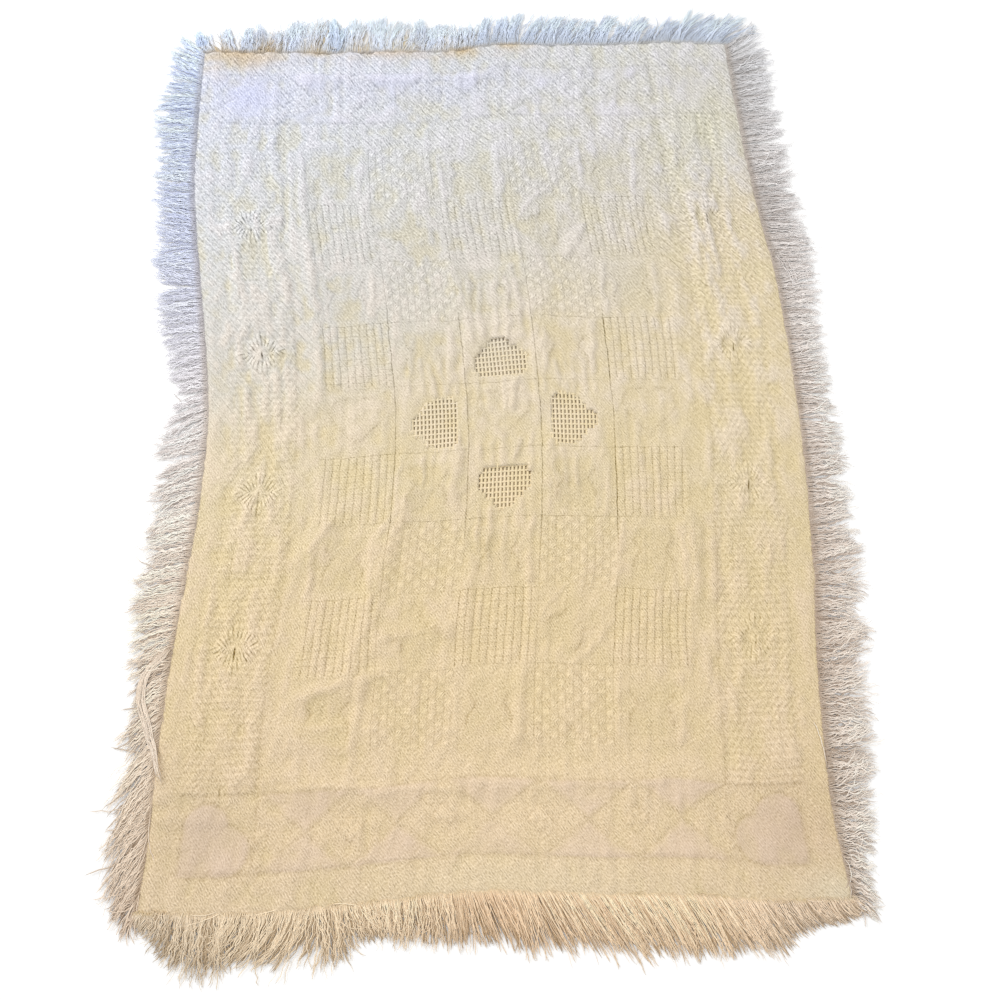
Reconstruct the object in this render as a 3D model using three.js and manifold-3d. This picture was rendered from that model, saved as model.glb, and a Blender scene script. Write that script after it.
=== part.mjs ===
// A fringed cotton baby blanket, laid flat on the floor: one woven sheet and the fringes of its four sides.
// Millimetres, +Z up. +X runs across the blanket and +Y from its near end to its far end.
import * as THREE from "three";
import Module from "manifold-3d";
import { mergeGeometries, mergeVertices } from "three/addons/utils/BufferGeometryUtils.js";

const wasm = await Module();
wasm.setup();

// Driving sizes of the cloth, as woven and pulled flat
const CLOTH_WIDTH = 772;
const CLOTH_LENGTH = 1168;
const CLOTH_THICK = 2.2;
const CLOTH_COLOUR = 0xe4dcc6;

// The middle field is a grid of woven blocks, and cells of one even size cut it and its borders into faces
const FIELD = { columns: 5, rows: 9, blockWidth: 95, blockLength: 92.5, middle: -3.5 };
const CELLS = { perBlock: 4, perSideBorder: 6, perEndBorder: 6 };

// The side edges as they lie: along is a place on the cloth's length, left and right its edges there
const SIDE_EDGES = [
  { along: -584, left: -403, right: 394 },
  { along: -500, left: -395, right: 384 },
  { along: -400, left: -391, right: 384 },
  { along: -300, left: -383, right: 389 },
  { along: -200, left: -371, right: 398 },
  { along: -100, left: -361, right: 403 },
  { along: 0, left: -357, right: 405 },
  { along: 100, left: -366, right: 403 },
  { along: 200, left: -379, right: 398 },
  { along: 300, left: -392, right: 386 },
  { along: 400, left: -398, right: 377 },
  { along: 490, left: -398, right: 372 },
  { along: 584, left: -396, right: 368 },
];

// The end edges as they lie: across is a place on the cloth's width, near and far its edges there
const END_EDGES = [
  { across: -386, near: -583, far: 587 },
  { across: -290, near: -587, far: 584 },
  { across: -190, near: -584, far: 581 },
  { across: -100, near: -578, far: 581 },
  { across: -20, near: -573, far: 581 },
  { across: 40, near: -576, far: 590 },
  { across: 120, near: -581, far: 588 },
  { across: 210, near: -585, far: 587 },
  { across: 300, near: -593, far: 589 },
  { across: 386, near: -593, far: 584 },
];

// Soft puckers and creases: each is a ridge from one place on the flat cloth to another, so wide and so high
const RIDGES = [
  { across: -238, along: 345, toAcross: -238, toAlong: 29, wide: 62, high: 5 },
  { across: -325, along: 270, toAcross: -316, toAlong: 132, wide: 60, high: 4 },
  { across: -288, along: 215, toAcross: -292, toAlong: 4, wide: 56, high: 4 },
  { across: -48, along: 217, toAcross: -34, toAlong: 105, wide: 56, high: 6 },
  { across: 22, along: 207, toAcross: 19, toAlong: 108, wide: 54, high: 5 },
  { across: 62, along: 175, toAcross: 58, toAlong: 20, wide: 54, high: 4 },
  { across: -64, along: -40, toAcross: -65, toAlong: -96, wide: 54, high: 6 },
  { across: 60, along: -40, toAcross: 60, toAlong: -96, wide: 54, high: 6 },
  { across: -175, along: -331, toAcross: -125, toAlong: -105, wide: 66, high: 6 },
  { across: -246, along: -182, toAcross: -215, toAlong: -134, wide: 58, high: 7 },
  { across: -226, along: -348, toAcross: -134, toAlong: -329, wide: 56, high: 5 },
  { across: -138, along: -289, toAcross: -48, toAlong: -274, wide: 54, high: 4 },
  { across: -45, along: -156, toAcross: -38, toAlong: -232, wide: 54, high: 4 },
  { across: 24, along: -345, toAcross: 27, toAlong: -413, wide: 54, high: 4 },
  { across: 234, along: -145, toAcross: 241, toAlong: -240, wide: 56, high: 5 },
  { across: 300, along: 347, toAcross: 292, toAlong: 116, wide: 60, high: 4 },
  { across: -230, along: -392, toAcross: -146, toAlong: -402, wide: 54, high: 4 },
  { across: -219, along: -456, toAcross: -37, toAlong: -468, wide: 58, high: 4 },
  { across: -15, along: -464, toAcross: 236, toAlong: -460, wide: 58, high: 4 },
  { across: -243, along: 530, toAcross: 19, toAlong: 523, wide: 58, high: 4 },
];

// Four openwork hearts, one in each block next to the middle one, with their lobes towards that block
const HEART = { across: 66, long: 58, fromMiddle: 91, middle: -12, turns: [0, 1, 2, 3] };
// The heart's outline: how full its sides stay towards the point, how deep its cleft is, how square its lobes
const HEART_CURVE = { sides: 1.5, cleft: 0.1, lobes: 8 };
// The hearts' open net is drawn at twice its woven pitch, and each gap keeps its share of that pitch
const NET = { pitchAcross: 9.8, pitchAlong: 13.8, open: 0.6 };
const POST_LONG = 60;

// Fringe: locks of loose yarn on a narrow strip that lies against the cloth's edge
const GAP = 0.4;
const STRIP_WIDE = 5;
const LOCK = {
  pitch: 15,
  rootWide: 10.5,
  bendWide: 8,
  tipWide: 3.6,
  tipThick: 1.4,
  bendAt: 0.55,
  bendLean: 0.8,
  curl: 1.6,
  strayLean: 2.2,
  strayLength: 0.08,
};
// Three rows of uneven numbers for the locks: how far each row steps from lock to lock, and where it starts
const STRAY = {
  lean: { step: 1, start: 0 },
  length: { step: 3, start: 5 },
  curl: { step: 2, start: 9 },
};
const FRINGE_COLOUR = 0xd6cdbb;
const YARN_ROUGHNESS = 0.95;

// Each side's locks: at is a place on its edge, long the reach from the edge, lean the slant in degrees
const FRINGE_LEFT = [
  { at: -584, long: 44, lean: -40 },
  { at: -510, long: 56, lean: -22 },
  { at: -430, long: 48, lean: -30 },
  { at: -345, long: 46, lean: -26 },
  { at: -270, long: 60, lean: -4 },
  { at: -180, long: 52, lean: -6 },
  { at: -70, long: 56, lean: -14 },
  { at: 0, long: 58, lean: -24 },
  { at: 45, long: 47, lean: -12 },
  { at: 150, long: 54, lean: -4 },
  { at: 280, long: 58, lean: 2 },
  { at: 400, long: 50, lean: -2 },
  { at: 500, long: 60, lean: 4 },
  { at: 584, long: 48, lean: 36 },
];
const FRINGE_RIGHT = [
  { at: -584, long: 44, lean: -40 },
  { at: -530, long: 40, lean: -12 },
  { at: -460, long: 58, lean: -4 },
  { at: -330, long: 63, lean: 0 },
  { at: -210, long: 62, lean: 2 },
  { at: -90, long: 53, lean: 0 },
  { at: 20, long: 46, lean: -2 },
  { at: 150, long: 46, lean: 2 },
  { at: 260, long: 61, lean: 0 },
  { at: 400, long: 52, lean: 4 },
  { at: 500, long: 60, lean: 4 },
  { at: 584, long: 62, lean: 24 },
];
const FRINGE_FAR = [
  { at: -386, long: 40, lean: -34 },
  { at: -330, long: 54, lean: -4 },
  { at: -230, long: 52, lean: 6 },
  { at: -110, long: 62, lean: 2 },
  { at: -30, long: 42, lean: 10 },
  { at: 40, long: 58, lean: 4 },
  { at: 120, long: 48, lean: 12 },
  { at: 220, long: 54, lean: 14 },
  { at: 320, long: 54, lean: 24 },
  { at: 386, long: 62, lean: 44 },
];
const FRINGE_NEAR = [
  { at: -386, long: 26, lean: -24 },
  { at: -332, long: 62, lean: -6 },
  { at: -230, long: 54, lean: 6 },
  { at: -120, long: 41, lean: 2 },
  { at: -30, long: 50, lean: 14 },
  { at: 80, long: 60, lean: 22 },
  { at: 200, long: 60, lean: 24 },
  { at: 290, long: 52, lean: 18 },
  { at: 350, long: 40, lean: 20 },
  { at: 386, long: 40, lean: 38 },
];

// A smooth curve through one column of a table, read at a place in its first column
function curveThrough(rows, place, value) {
  const places = rows.map((row) => row[place]);
  const values = rows.map((row) => row[value]);
  const curve = new THREE.CubicInterpolant(places, values, 1);
  return (at) => curve.evaluate(THREE.MathUtils.clamp(at, places[0], places[places.length - 1]))[0];
}

const edge = {
  left: curveThrough(SIDE_EDGES, "along", "left"),
  right: curveThrough(SIDE_EDGES, "along", "right"),
  near: curveThrough(END_EDGES, "across", "near"),
  far: curveThrough(END_EDGES, "across", "far"),
};

// Where a place on the flat cloth lies on the floor, between the four edges
function laid(across, along) {
  const x = THREE.MathUtils.lerp(edge.left(along), edge.right(along), across / CLOTH_WIDTH + 0.5);
  const y = THREE.MathUtils.lerp(edge.near(across), edge.far(across), along / CLOTH_LENGTH + 0.5);
  return new THREE.Vector2(x, y);
}

// How far the puckers lift the cloth at a place: a round ridge that fades out past both of its ends
function lift(across, along) {
  let highest = 0;
  for (const ridge of RIDGES) {
    const run = new THREE.Vector2(ridge.toAcross - ridge.across, ridge.toAlong - ridge.along);
    const from = new THREE.Vector2(across - ridge.across, along - ridge.along);
    const share = THREE.MathUtils.clamp(from.dot(run) / run.lengthSq(), 0, 1);
    const away = from.addScaledVector(run, -share).length() / (ridge.wide / 2);
    if (away < 1) {
      highest = Math.max(highest, (ridge.high * (1 + Math.cos(Math.PI * away))) / 2);
    }
  }
  return highest;
}

// Collects triangles by their corner points and closes them into one geometry
class Skin {
  constructor() {
    this.corners = [];
  }
  triangle(a, b, c) {
    this.corners.push(a, b, c);
  }
  quad(a, b, c, d) {
    this.triangle(a, b, c);
    this.triangle(a, c, d);
  }
  geometry() {
    const made = new THREE.BufferGeometry().setFromPoints(this.corners);
    made.computeVertexNormals();
    return made;
  }
}

// Evenly spaced grid lines from one border through the blocks to the other border
function gridLines(half, blocks, blockSize, middle, perBorder) {
  const fieldHalf = (blocks * blockSize) / 2;
  const lines = [];
  for (let i = 0; i < perBorder; i++) {
    lines.push(THREE.MathUtils.lerp(-half, middle - fieldHalf, i / perBorder));
  }
  for (let i = 0; i < blocks * CELLS.perBlock; i++) {
    lines.push(middle - fieldHalf + (i * blockSize) / CELLS.perBlock);
  }
  for (let i = 0; i <= perBorder; i++) {
    lines.push(THREE.MathUtils.lerp(middle + fieldHalf, half, i / perBorder));
  }
  return lines;
}

const halfWidth = CLOTH_WIDTH / 2;
const halfLength = CLOTH_LENGTH / 2;
const columnLines = gridLines(halfWidth, FIELD.columns, FIELD.blockWidth, 0, CELLS.perSideBorder);
const rowLines = gridLines(halfLength, FIELD.rows, FIELD.blockLength, FIELD.middle, CELLS.perEndBorder);

// A point of the cloth's upper or lower face
function clothPoint(across, along, thick) {
  const at = laid(across, along);
  return new THREE.Vector3(at.x, at.y, lift(across, along) + thick);
}
const upper = (at) => clothPoint(at.x, at.y, CLOTH_THICK);
const lower = (at) => clothPoint(at.x, at.y, 0);

// Whether a place is inside a heart whose middle is at 0,0 and whose point is at +Y
function insideHeart(x, y) {
  const half = HEART.long / 2;
  const side = Math.abs(x) / (HEART.across / 2);
  const pointEnd = half * (1 - side ** HEART_CURVE.sides);
  const lobe = 1 - HEART_CURVE.cleft * (1 - Math.sin(Math.PI * side));
  const lobeEnd = -half * lobe * Math.sqrt(1 - side ** HEART_CURVE.lobes);
  return side < 1 && y < pointEnd && y > lobeEnd;
}

// One heart's gaps as posts upright through the cloth, turned by quarter turns round the middle block
function heartGaps(turn) {
  const gaps = [];
  const quarterTurns = (turn * Math.PI) / 2;
  const heartMiddle = new THREE.Vector2(0, HEART.fromMiddle).rotateAround(new THREE.Vector2(), quarterTurns);
  heartMiddle.y += HEART.middle;
  const reach = Math.ceil(HEART.across / Math.min(NET.pitchAcross, NET.pitchAlong));
  const openAcross = NET.pitchAcross * NET.open;
  const openAlong = NET.pitchAlong * NET.open;
  for (let i = -reach; i <= reach; i++) {
    for (let j = -reach; j <= reach; j++) {
      const place = new THREE.Vector2((i + 0.5) * NET.pitchAcross, (j + 0.5) * NET.pitchAlong);
      const upright = place.clone().rotateAround(new THREE.Vector2(), -quarterTurns);
      if (insideHeart(upright.x, upright.y)) {
        const [x, y] = place.add(heartMiddle).toArray();
        const outline = new THREE.Shape([
          laid(x - openAcross / 2, y - openAlong / 2),
          laid(x + openAcross / 2, y - openAlong / 2),
          laid(x + openAcross / 2, y + openAlong / 2),
          laid(x - openAcross / 2, y + openAlong / 2),
        ]);
        const post = new THREE.ExtrudeGeometry(outline, { depth: POST_LONG, bevelEnabled: false });
        gaps.push(post.translate(0, 0, -POST_LONG / 2));
      }
    }
  }
  return gaps;
}

// A closed geometry as a solid that can be cut, and back; corners nearer than this are one corner
const SAME_CORNER = 1e-3;
function toSolid(geometry) {
  const bare = new THREE.BufferGeometry();
  bare.setAttribute("position", geometry.getAttribute("position"));
  const merged = mergeVertices(bare, SAME_CORNER);
  const vertProperties = merged.getAttribute("position").array;
  const triVerts = new Uint32Array(merged.index.array);
  return new wasm.Manifold(new wasm.Mesh({ numProp: 3, vertProperties, triVerts }));
}
function toGeometry(solid) {
  const { vertProperties, triVerts } = solid.getMesh();
  const geometry = new THREE.BufferGeometry();
  geometry.setAttribute("position", new THREE.BufferAttribute(vertProperties, 3));
  geometry.setIndex(new THREE.BufferAttribute(triVerts, 1));
  geometry.computeVertexNormals();
  return geometry;
}

// The woven sheet: an upper and a lower face on one grid, a rim round them and the hearts' net cut through
function clothGeometry() {
  const skin = new Skin();
  const grid = (i, j) => new THREE.Vector2(columnLines[i], rowLines[j]);
  const lastColumn = columnLines.length - 1;
  const lastRow = rowLines.length - 1;
  for (let i = 0; i < lastColumn; i++) {
    for (let j = 0; j < lastRow; j++) {
      const cell = [grid(i, j), grid(i + 1, j), grid(i + 1, j + 1), grid(i, j + 1)];
      skin.quad(...cell.map(upper));
      skin.quad(...cell.map(lower).reverse());
    }
  }
  const wall = (from, to) => skin.quad(lower(from), lower(to), upper(to), upper(from));
  for (let i = 0; i < lastColumn; i++) {
    wall(grid(i, 0), grid(i + 1, 0));
    wall(grid(i + 1, lastRow), grid(i, lastRow));
  }
  for (let j = 0; j < lastRow; j++) {
    wall(grid(lastColumn, j), grid(lastColumn, j + 1));
    wall(grid(0, j + 1), grid(0, j));
  }
  const gaps = mergeGeometries(HEART.turns.flatMap(heartGaps));
  return toGeometry(toSolid(skin.geometry()).subtract(toSolid(gaps)));
}

// A number from -1 to 1 that changes from lock to lock with no plain repeat
const GOLDEN_SHARE = (Math.sqrt(5) - 1) / 2;
function uneven(index, seed, { step, start }) {
  const share = ((index * step + seed + start) * GOLDEN_SHARE) % 1;
  return 2 * share - 1;
}

// One side's fringe: a strip beside the cloth's edge and the locks that lie out from it on the floor.
// rootAt gives a place on the cloth's edge, and out and on are that side's outward and onward directions.
function fringeGeometry({ table, span, rootAt, out, on, seed }) {
  const reachAt = curveThrough(table, "at", "long");
  const leanAt = curveThrough(table, "at", "lean");
  const count = Math.round(span / LOCK.pitch);
  const pitch = span / count;
  const root = GAP + STRIP_WIDE;
  const turned = on.cross(out) < 0;
  const skin = new Skin();
  const point = (at, away, along, thick) => {
    const place = rootAt(at).addScaledVector(out, away).addScaledVector(on, along);
    return { low: new THREE.Vector3(place.x, place.y, 0), high: new THREE.Vector3(place.x, place.y, thick) };
  };
  // A flat plate on the floor: its two faces, and a wall on each of the edges that are listed
  const plate = (corners, walls) => {
    for (let i = 2; i < corners.length; i++) {
      const fan = [corners[0], corners[i - 1], corners[i]];
      const [a, b, c] = turned ? fan.reverse() : fan;
      skin.triangle(a.high, b.high, c.high);
      skin.triangle(a.low, c.low, b.low);
    }
    for (const i of walls) {
      const pair = [corners[i], corners[(i + 1) % corners.length]];
      const [from, to] = turned ? pair.reverse() : pair;
      skin.quad(from.low, to.low, to.high, from.high);
    }
  };
  const lockAt = (i) => (i + 0.5) * pitch - span / 2;
  const innerPoint = (i) => point(i * pitch - span / 2, GAP, 0, CLOTH_THICK);
  const rootPoint = (i, side) => point(lockAt(i), root, (side * LOCK.rootWide) / 2, CLOTH_THICK);
  for (let i = 0; i < count; i++) {
    const at = lockAt(i);
    const lean = THREE.MathUtils.degToRad(leanAt(at) + LOCK.strayLean * uneven(i, seed, STRAY.lean));
    const reach = reachAt(at) * (1 + LOCK.strayLength * uneven(i, seed, STRAY.length)) - root;
    const bend = reach * LOCK.bendAt;
    const bendOn = bend * Math.tan(lean) * LOCK.bendLean + LOCK.curl * uneven(i, seed, STRAY.curl);
    const tipOn = reach * Math.tan(lean);
    const bendPoint = (side) => point(at, root + bend, bendOn + (side * LOCK.bendWide) / 2, CLOTH_THICK);
    const tipPoint = (side) => point(at, root + reach, tipOn + (side * LOCK.tipWide) / 2, LOCK.tipThick);
    const ends = [...(i === 0 ? [3] : []), ...(i === count - 1 ? [1] : [])];
    plate([innerPoint(i), innerPoint(i + 1), rootPoint(i, 1), rootPoint(i, -1)], [0, ...ends]);
    plate([rootPoint(i, -1), rootPoint(i, 1), bendPoint(1), bendPoint(-1)], [1, 3]);
    plate([bendPoint(-1), bendPoint(1), tipPoint(1), tipPoint(-1)], [1, 2, 3]);
    if (i < count - 1) {
      plate([innerPoint(i + 1), rootPoint(i + 1, -1), rootPoint(i, 1)], [1]);
    }
  }
  return skin.geometry();
}

const RIGHTWARD = new THREE.Vector2(1, 0);
const FARWARD = new THREE.Vector2(0, 1);
const LEFT_SIDE = {
  name: "fringe_left", table: FRINGE_LEFT, span: CLOTH_LENGTH, seed: 1,
  rootAt: (along) => laid(-halfWidth, along), out: RIGHTWARD.clone().negate(), on: FARWARD,
};
const RIGHT_SIDE = {
  name: "fringe_right", table: FRINGE_RIGHT, span: CLOTH_LENGTH, seed: 2,
  rootAt: (along) => laid(halfWidth, along), out: RIGHTWARD, on: FARWARD,
};
const FAR_END = {
  name: "fringe_far", table: FRINGE_FAR, span: CLOTH_WIDTH, seed: 3,
  rootAt: (across) => laid(across, halfLength), out: FARWARD, on: RIGHTWARD,
};
const NEAR_END = {
  name: "fringe_near", table: FRINGE_NEAR, span: CLOTH_WIDTH, seed: 4,
  rootAt: (across) => laid(across, -halfLength), out: FARWARD.clone().negate(), on: RIGHTWARD,
};

const yarn = (color) => new THREE.MeshStandardMaterial({ color, roughness: YARN_ROUGHNESS, metalness: 0 });
const blanket = new THREE.Group();
const cloth = new THREE.Mesh(clothGeometry(), yarn(CLOTH_COLOUR));
cloth.name = "cloth";
blanket.add(cloth);
for (const side of [LEFT_SIDE, RIGHT_SIDE, FAR_END, NEAR_END]) {
  const fringe = new THREE.Mesh(fringeGeometry(side), yarn(FRINGE_COLOUR));
  fringe.name = side.name;
  blanket.add(fringe);
}

// The origin is under the middle of the whole footprint, on the floor
const footprint = new THREE.Box3().setFromObject(blanket);
const middle = footprint.getCenter(new THREE.Vector3());
blanket.children.forEach((piece) => piece.position.set(-middle.x, -middle.y, 0));

export default blanket;
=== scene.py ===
import math
from types import SimpleNamespace

import bpy
import numpy as np
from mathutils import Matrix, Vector
from mathutils.geometry import delaunay_2d_cdt


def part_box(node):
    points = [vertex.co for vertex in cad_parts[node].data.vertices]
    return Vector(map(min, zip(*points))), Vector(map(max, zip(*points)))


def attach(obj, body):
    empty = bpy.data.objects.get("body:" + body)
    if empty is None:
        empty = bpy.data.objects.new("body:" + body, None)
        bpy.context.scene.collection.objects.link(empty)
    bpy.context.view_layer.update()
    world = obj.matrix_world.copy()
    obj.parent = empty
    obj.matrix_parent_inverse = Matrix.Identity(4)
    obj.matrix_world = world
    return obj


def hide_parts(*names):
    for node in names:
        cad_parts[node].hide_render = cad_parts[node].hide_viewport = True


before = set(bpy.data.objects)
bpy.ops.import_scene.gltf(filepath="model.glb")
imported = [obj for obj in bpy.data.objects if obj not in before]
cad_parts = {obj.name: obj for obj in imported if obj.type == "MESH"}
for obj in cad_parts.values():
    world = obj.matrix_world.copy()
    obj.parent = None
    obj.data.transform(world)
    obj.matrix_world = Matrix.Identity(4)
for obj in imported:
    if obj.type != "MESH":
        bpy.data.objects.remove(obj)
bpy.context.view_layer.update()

# The woven cloth
# One cotton sheet, woven in a single cream yarn on a patterned loom, so that its blocks, hearts and borders
# show only as raised and sunken weave. It lies flat on the floor, a little out of square, with soft puckers.
MM = 0.001
WIDTH = 772.0
LENGTH = 1168.0
THICK = 2.2
# The side edges as they lie: along, left, right
SIDE_EDGES = np.array([
    (-584, -403, 394),
    (-500, -395, 384),
    (-400, -391, 384),
    (-300, -383, 389),
    (-200, -371, 398),
    (-100, -361, 403),
    (0, -357, 405),
    (100, -366, 403),
    (200, -379, 398),
    (300, -392, 386),
    (400, -398, 377),
    (490, -398, 372),
    (584, -396, 368),
], float)
# The end edges as they lie: across, near, far
END_EDGES = np.array([
    (-386, -583, 587),
    (-290, -587, 584),
    (-190, -584, 581),
    (-100, -578, 581),
    (-20, -573, 581),
    (40, -576, 590),
    (120, -581, 588),
    (210, -585, 587),
    (300, -593, 589),
    (386, -593, 584),
], float)


def smooth_curve(places, values, at):
    """A smooth curve through values at places, read at other places."""
    slopes = np.gradient(values, places)
    i = np.clip(np.searchsorted(places, at) - 1, 0, len(places) - 2)
    gap = places[i + 1] - places[i]
    t = np.clip((at - places[i]) / gap, 0, 1)
    start = values[i] * (1 + 2 * t) * (1 - t) ** 2 + slopes[i] * gap * t * (1 - t) ** 2
    end = values[i + 1] * t * t * (3 - 2 * t) - slopes[i + 1] * gap * t * t * (1 - t)
    return start + end


def rumple(across, along, step_across, step_along, seed):
    """Smooth uneven numbers from -1 to 1 that change over the given steps."""
    u = (np.asarray(across) + WIDTH) / step_across
    v = (np.asarray(along) + LENGTH) / step_along
    i, j = np.floor(u).astype(int), np.floor(v).astype(int)
    draw = np.random.default_rng(seed).uniform(-1, 1, (i.max() + 2, j.max() + 2))
    u, v = u - i, v - j
    u, v = u * u * (3 - 2 * u), v * v * (3 - 2 * v)
    near = draw[i, j] * (1 - u) + draw[i + 1, j] * u
    far = draw[i, j + 1] * (1 - u) + draw[i + 1, j + 1] * u
    return near * (1 - v) + far * v


def soft_step(value, edge, soft):
    """0 well below the edge and 1 well above it."""
    t = np.clip((value - edge) / soft + 0.5, 0, 1)
    return t * t * (3 - 2 * t)


# The threads drift slowly off their straight lines, less at the rim and round the nets
THREAD_DRIFT = 3.0
DRIFT_ACROSS = (62, 75)
DRIFT_ALONG = (70, 66)
RIM_CALM = (60, 100)
NETS_MIDDLE = -12.0
NETS_CALM = (190, 120)
NETS_DRIFT = 0.25


def laid(across, along):
    """Where places on the flat cloth lie on the floor, between the four edges."""
    place, left, right = SIDE_EDGES.T
    left_there = smooth_curve(place, left, along)
    right_there = smooth_curve(place, right, along)
    place, near, far = END_EDGES.T
    near_there = smooth_curve(place, near, across)
    far_there = smooth_curve(place, far, across)
    x = left_there + (right_there - left_there) * (across / WIDTH + 0.5)
    y = near_there + (far_there - near_there) * (along / LENGTH + 0.5)
    to_rim = np.minimum(WIDTH / 2 - np.abs(across), LENGTH / 2 - np.abs(along))
    off_nets = soft_step(np.hypot(across, along - NETS_MIDDLE), *NETS_CALM)
    drift = THREAD_DRIFT * soft_step(to_rim, *RIM_CALM) * (NETS_DRIFT + (1 - NETS_DRIFT) * off_nets)
    x = x + drift * rumple(across, along, *DRIFT_ACROSS, seed=11)
    return x, y + drift * rumple(across, along, *DRIFT_ALONG, seed=12)


# The loom's draft: a field of blocks in five columns and nine rows, with a heart net in four of them.
# M is plain cloth with an upright figure, P with a slanting one, B basket, R ribs, N an open net heart and
# H the outline of a large heart.
BLOCK_WIDE = 95.0
BLOCK_LONG = 92.5
FIELD_LEFT = -237.5
FIELD_FAR = 412.75
CHART = [
    "MBMBM",
    "RPRPR",
    "MBMBM",
    "RMNMR",
    "HNHNH",
    "RMNMR",
    "MBMBM",
    "RPRPR",
    "MBMBM",
]
FIELD_RIGHT = FIELD_LEFT + BLOCK_WIDE * len(CHART[0])
FIELD_NEAR = FIELD_FAR - BLOCK_LONG * len(CHART)
RIBS_IN_BLOCK = 10
TICKS_IN_BLOCK = 11
RIB_PITCH = BLOCK_WIDE / RIBS_IN_BLOCK
TICK_PITCH = BLOCK_LONG / TICKS_IN_BLOCK

# The open net of the four hearts: the middle of each heart and its quarter turns
NET_HEARTS = [(0, 79, 0), (-91, -12, 1), (0, -103, 2), (91, -12, 3)]
NET_WIDE = 66.0
NET_LONG = 58.0
NET_CLEFT = 0.06
NET_ACROSS = 4.9
NET_ALONG = 6.9
HEART_SIDES = 1.3
HEART_LOBES = 20


def heart_depth(x, y, wide, long, cleft):
    """How far inside a heart a place is, with the heart's middle at 0,0 and its point at +y."""
    side = np.minimum(np.abs(x) / (wide / 2), 1)
    point_end = long / 2 * (1 - side ** HEART_SIDES)
    lobe = 1 - cleft * (1 - np.sin(np.pi * side))
    lobe_end = -long / 2 * lobe * np.sqrt(1 - side ** HEART_LOBES)
    outside = np.maximum(np.abs(x) - wide / 2, 0)
    return np.minimum(point_end - y, y - lobe_end) - outside


def upright(x, y, turns):
    """A place turned back by quarter turns."""
    cos, sin = math.cos(turns * math.pi / 2), math.sin(turns * math.pi / 2)
    return x * cos + y * sin, y * cos - x * sin


def in_open_net(across, along):
    """Whether places are in a gap cell of one of the heart nets."""
    opened = np.zeros(np.shape(across), bool)
    for heart_across, heart_along, turns in NET_HEARTS:
        cell_x = (np.floor((across - heart_across) / NET_ACROSS) + 0.5) * NET_ACROSS
        cell_y = (np.floor((along - heart_along) / NET_ALONG) + 0.5) * NET_ALONG
        opened |= heart_depth(*upright(cell_x, cell_y, turns), NET_WIDE, NET_LONG, NET_CLEFT) > 0
    return opened


# Puckers and creases as ridges on the flat cloth: across, along, to across, to along, width, height
PUCKERS = [
    (-238, 345, -238, 29, 62, 5),
    (-325, 270, -316, 132, 60, 4),
    (-288, 215, -292, 4, 56, 4),
    (-48, 217, -34, 105, 56, 6),
    (22, 207, 19, 108, 54, 5),
    (62, 175, 58, 20, 54, 4),
    (-64, -40, -65, -96, 54, 6),
    (60, -40, 60, -96, 54, 6),
    (-175, -331, -125, -105, 66, 6),
    (-246, -182, -215, -134, 58, 7),
    (-226, -348, -134, -329, 56, 5),
    (-138, -289, -48, -274, 54, 4),
    (-45, -156, -38, -232, 54, 4),
    (24, -345, 27, -413, 54, 4),
    (234, -145, 241, -240, 56, 5),
    (300, 347, 292, 116, 60, 4),
    (-230, -392, -146, -402, 54, 4),
    (-219, -456, -37, -468, 58, 4),
    (-15, -464, 236, -460, 58, 4),
    (-243, 530, 19, 523, 58, 4),
]
CREASES = [
    (-236, 345, -237, 29, 17, 1.6),
    (-48, 217, -34, 105, 15, 1.8),
    (49, 175, 43, 14, 14, 1.2),
    (-45, 106, -51, -45, 14, 1.3),
    (-64, -35, -65, -82, 15, 1.8),
    (59, -41, 59, -82, 15, 1.8),
    (-175, -331, -125, -105, 18, 1.3),
    (-241, -175, -220, -142, 17, 2.2),
    (-225, -348, -134, -329, 16, 1.6),
    (-138, -287, -48, -274, 16, 1.3),
    (-45, -156, -38, -227, 14, 1.3),
    (21, -121, 27, -180, 14, 1.2),
    (234, -145, 241, -238, 16, 1.6),
    (23, -353, 27, -413, 15, 1.3),
    (-50, -373, -49, -417, 14, 1.2),
    (-228, -383, -142, -395, 15, 1.3),
    (-233, -408, -152, -416, 15, 1.2),
    (-337, 269, -325, 132, 16, 1.5),
    (-305, 177, -308, 4, 16, 1.5),
    (-273, 222, -277, 60, 16, 1.3),
    (318, 347, 304, 116, 16, 1.5),
    (296, 300, 290, 150, 15, 1.2),
    (-219, -453, -37, -467, 18, 1.6),
    (-15, -463, 236, -459, 18, 1.5),
    (-243, 534, 19, 526, 18, 1.4),
]
# The pull of the open nets gathers the cloth beside them into fans of puckers: across, along, to along
FAN_RUNS = [
    (0, 192, 112),
    (0, 42, 12),
    (0, -38, -72),
    (0, -136, -186),
    (-91, 32, 74),
    (-91, -52, -92),
    (91, 32, 72),
    (91, -54, -96),
]
FAN_STEP = 17
FAN_COUNT = 5
FAN_WIDE = 13
FAN_HIGH = 1.7
FAN_CLOSING = 0.9
FAN_SWAY = 4
FAN_ENDS = 9
FAN_WIDTHS = 0.3
FAN_HEIGHTS = 0.5
fan_draw = np.random.default_rng(21)
for fan_across, fan_along, fan_to_along in FAN_RUNS:
    for k in range(FAN_COUNT):
        start, end, wide, high, low_end, high_end = fan_draw.uniform(-1, 1, 6)
        offset = (k - (FAN_COUNT - 1) / 2) * FAN_STEP
        CREASES.append((
            fan_across + offset + FAN_SWAY * start,
            fan_along + FAN_ENDS * low_end,
            fan_across + FAN_CLOSING * offset + FAN_SWAY * end,
            fan_to_along + FAN_ENDS * high_end,
            FAN_WIDE * (1 + FAN_WIDTHS * wide),
            FAN_HIGH * (1 + FAN_HEIGHTS * high),
        ))
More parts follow.
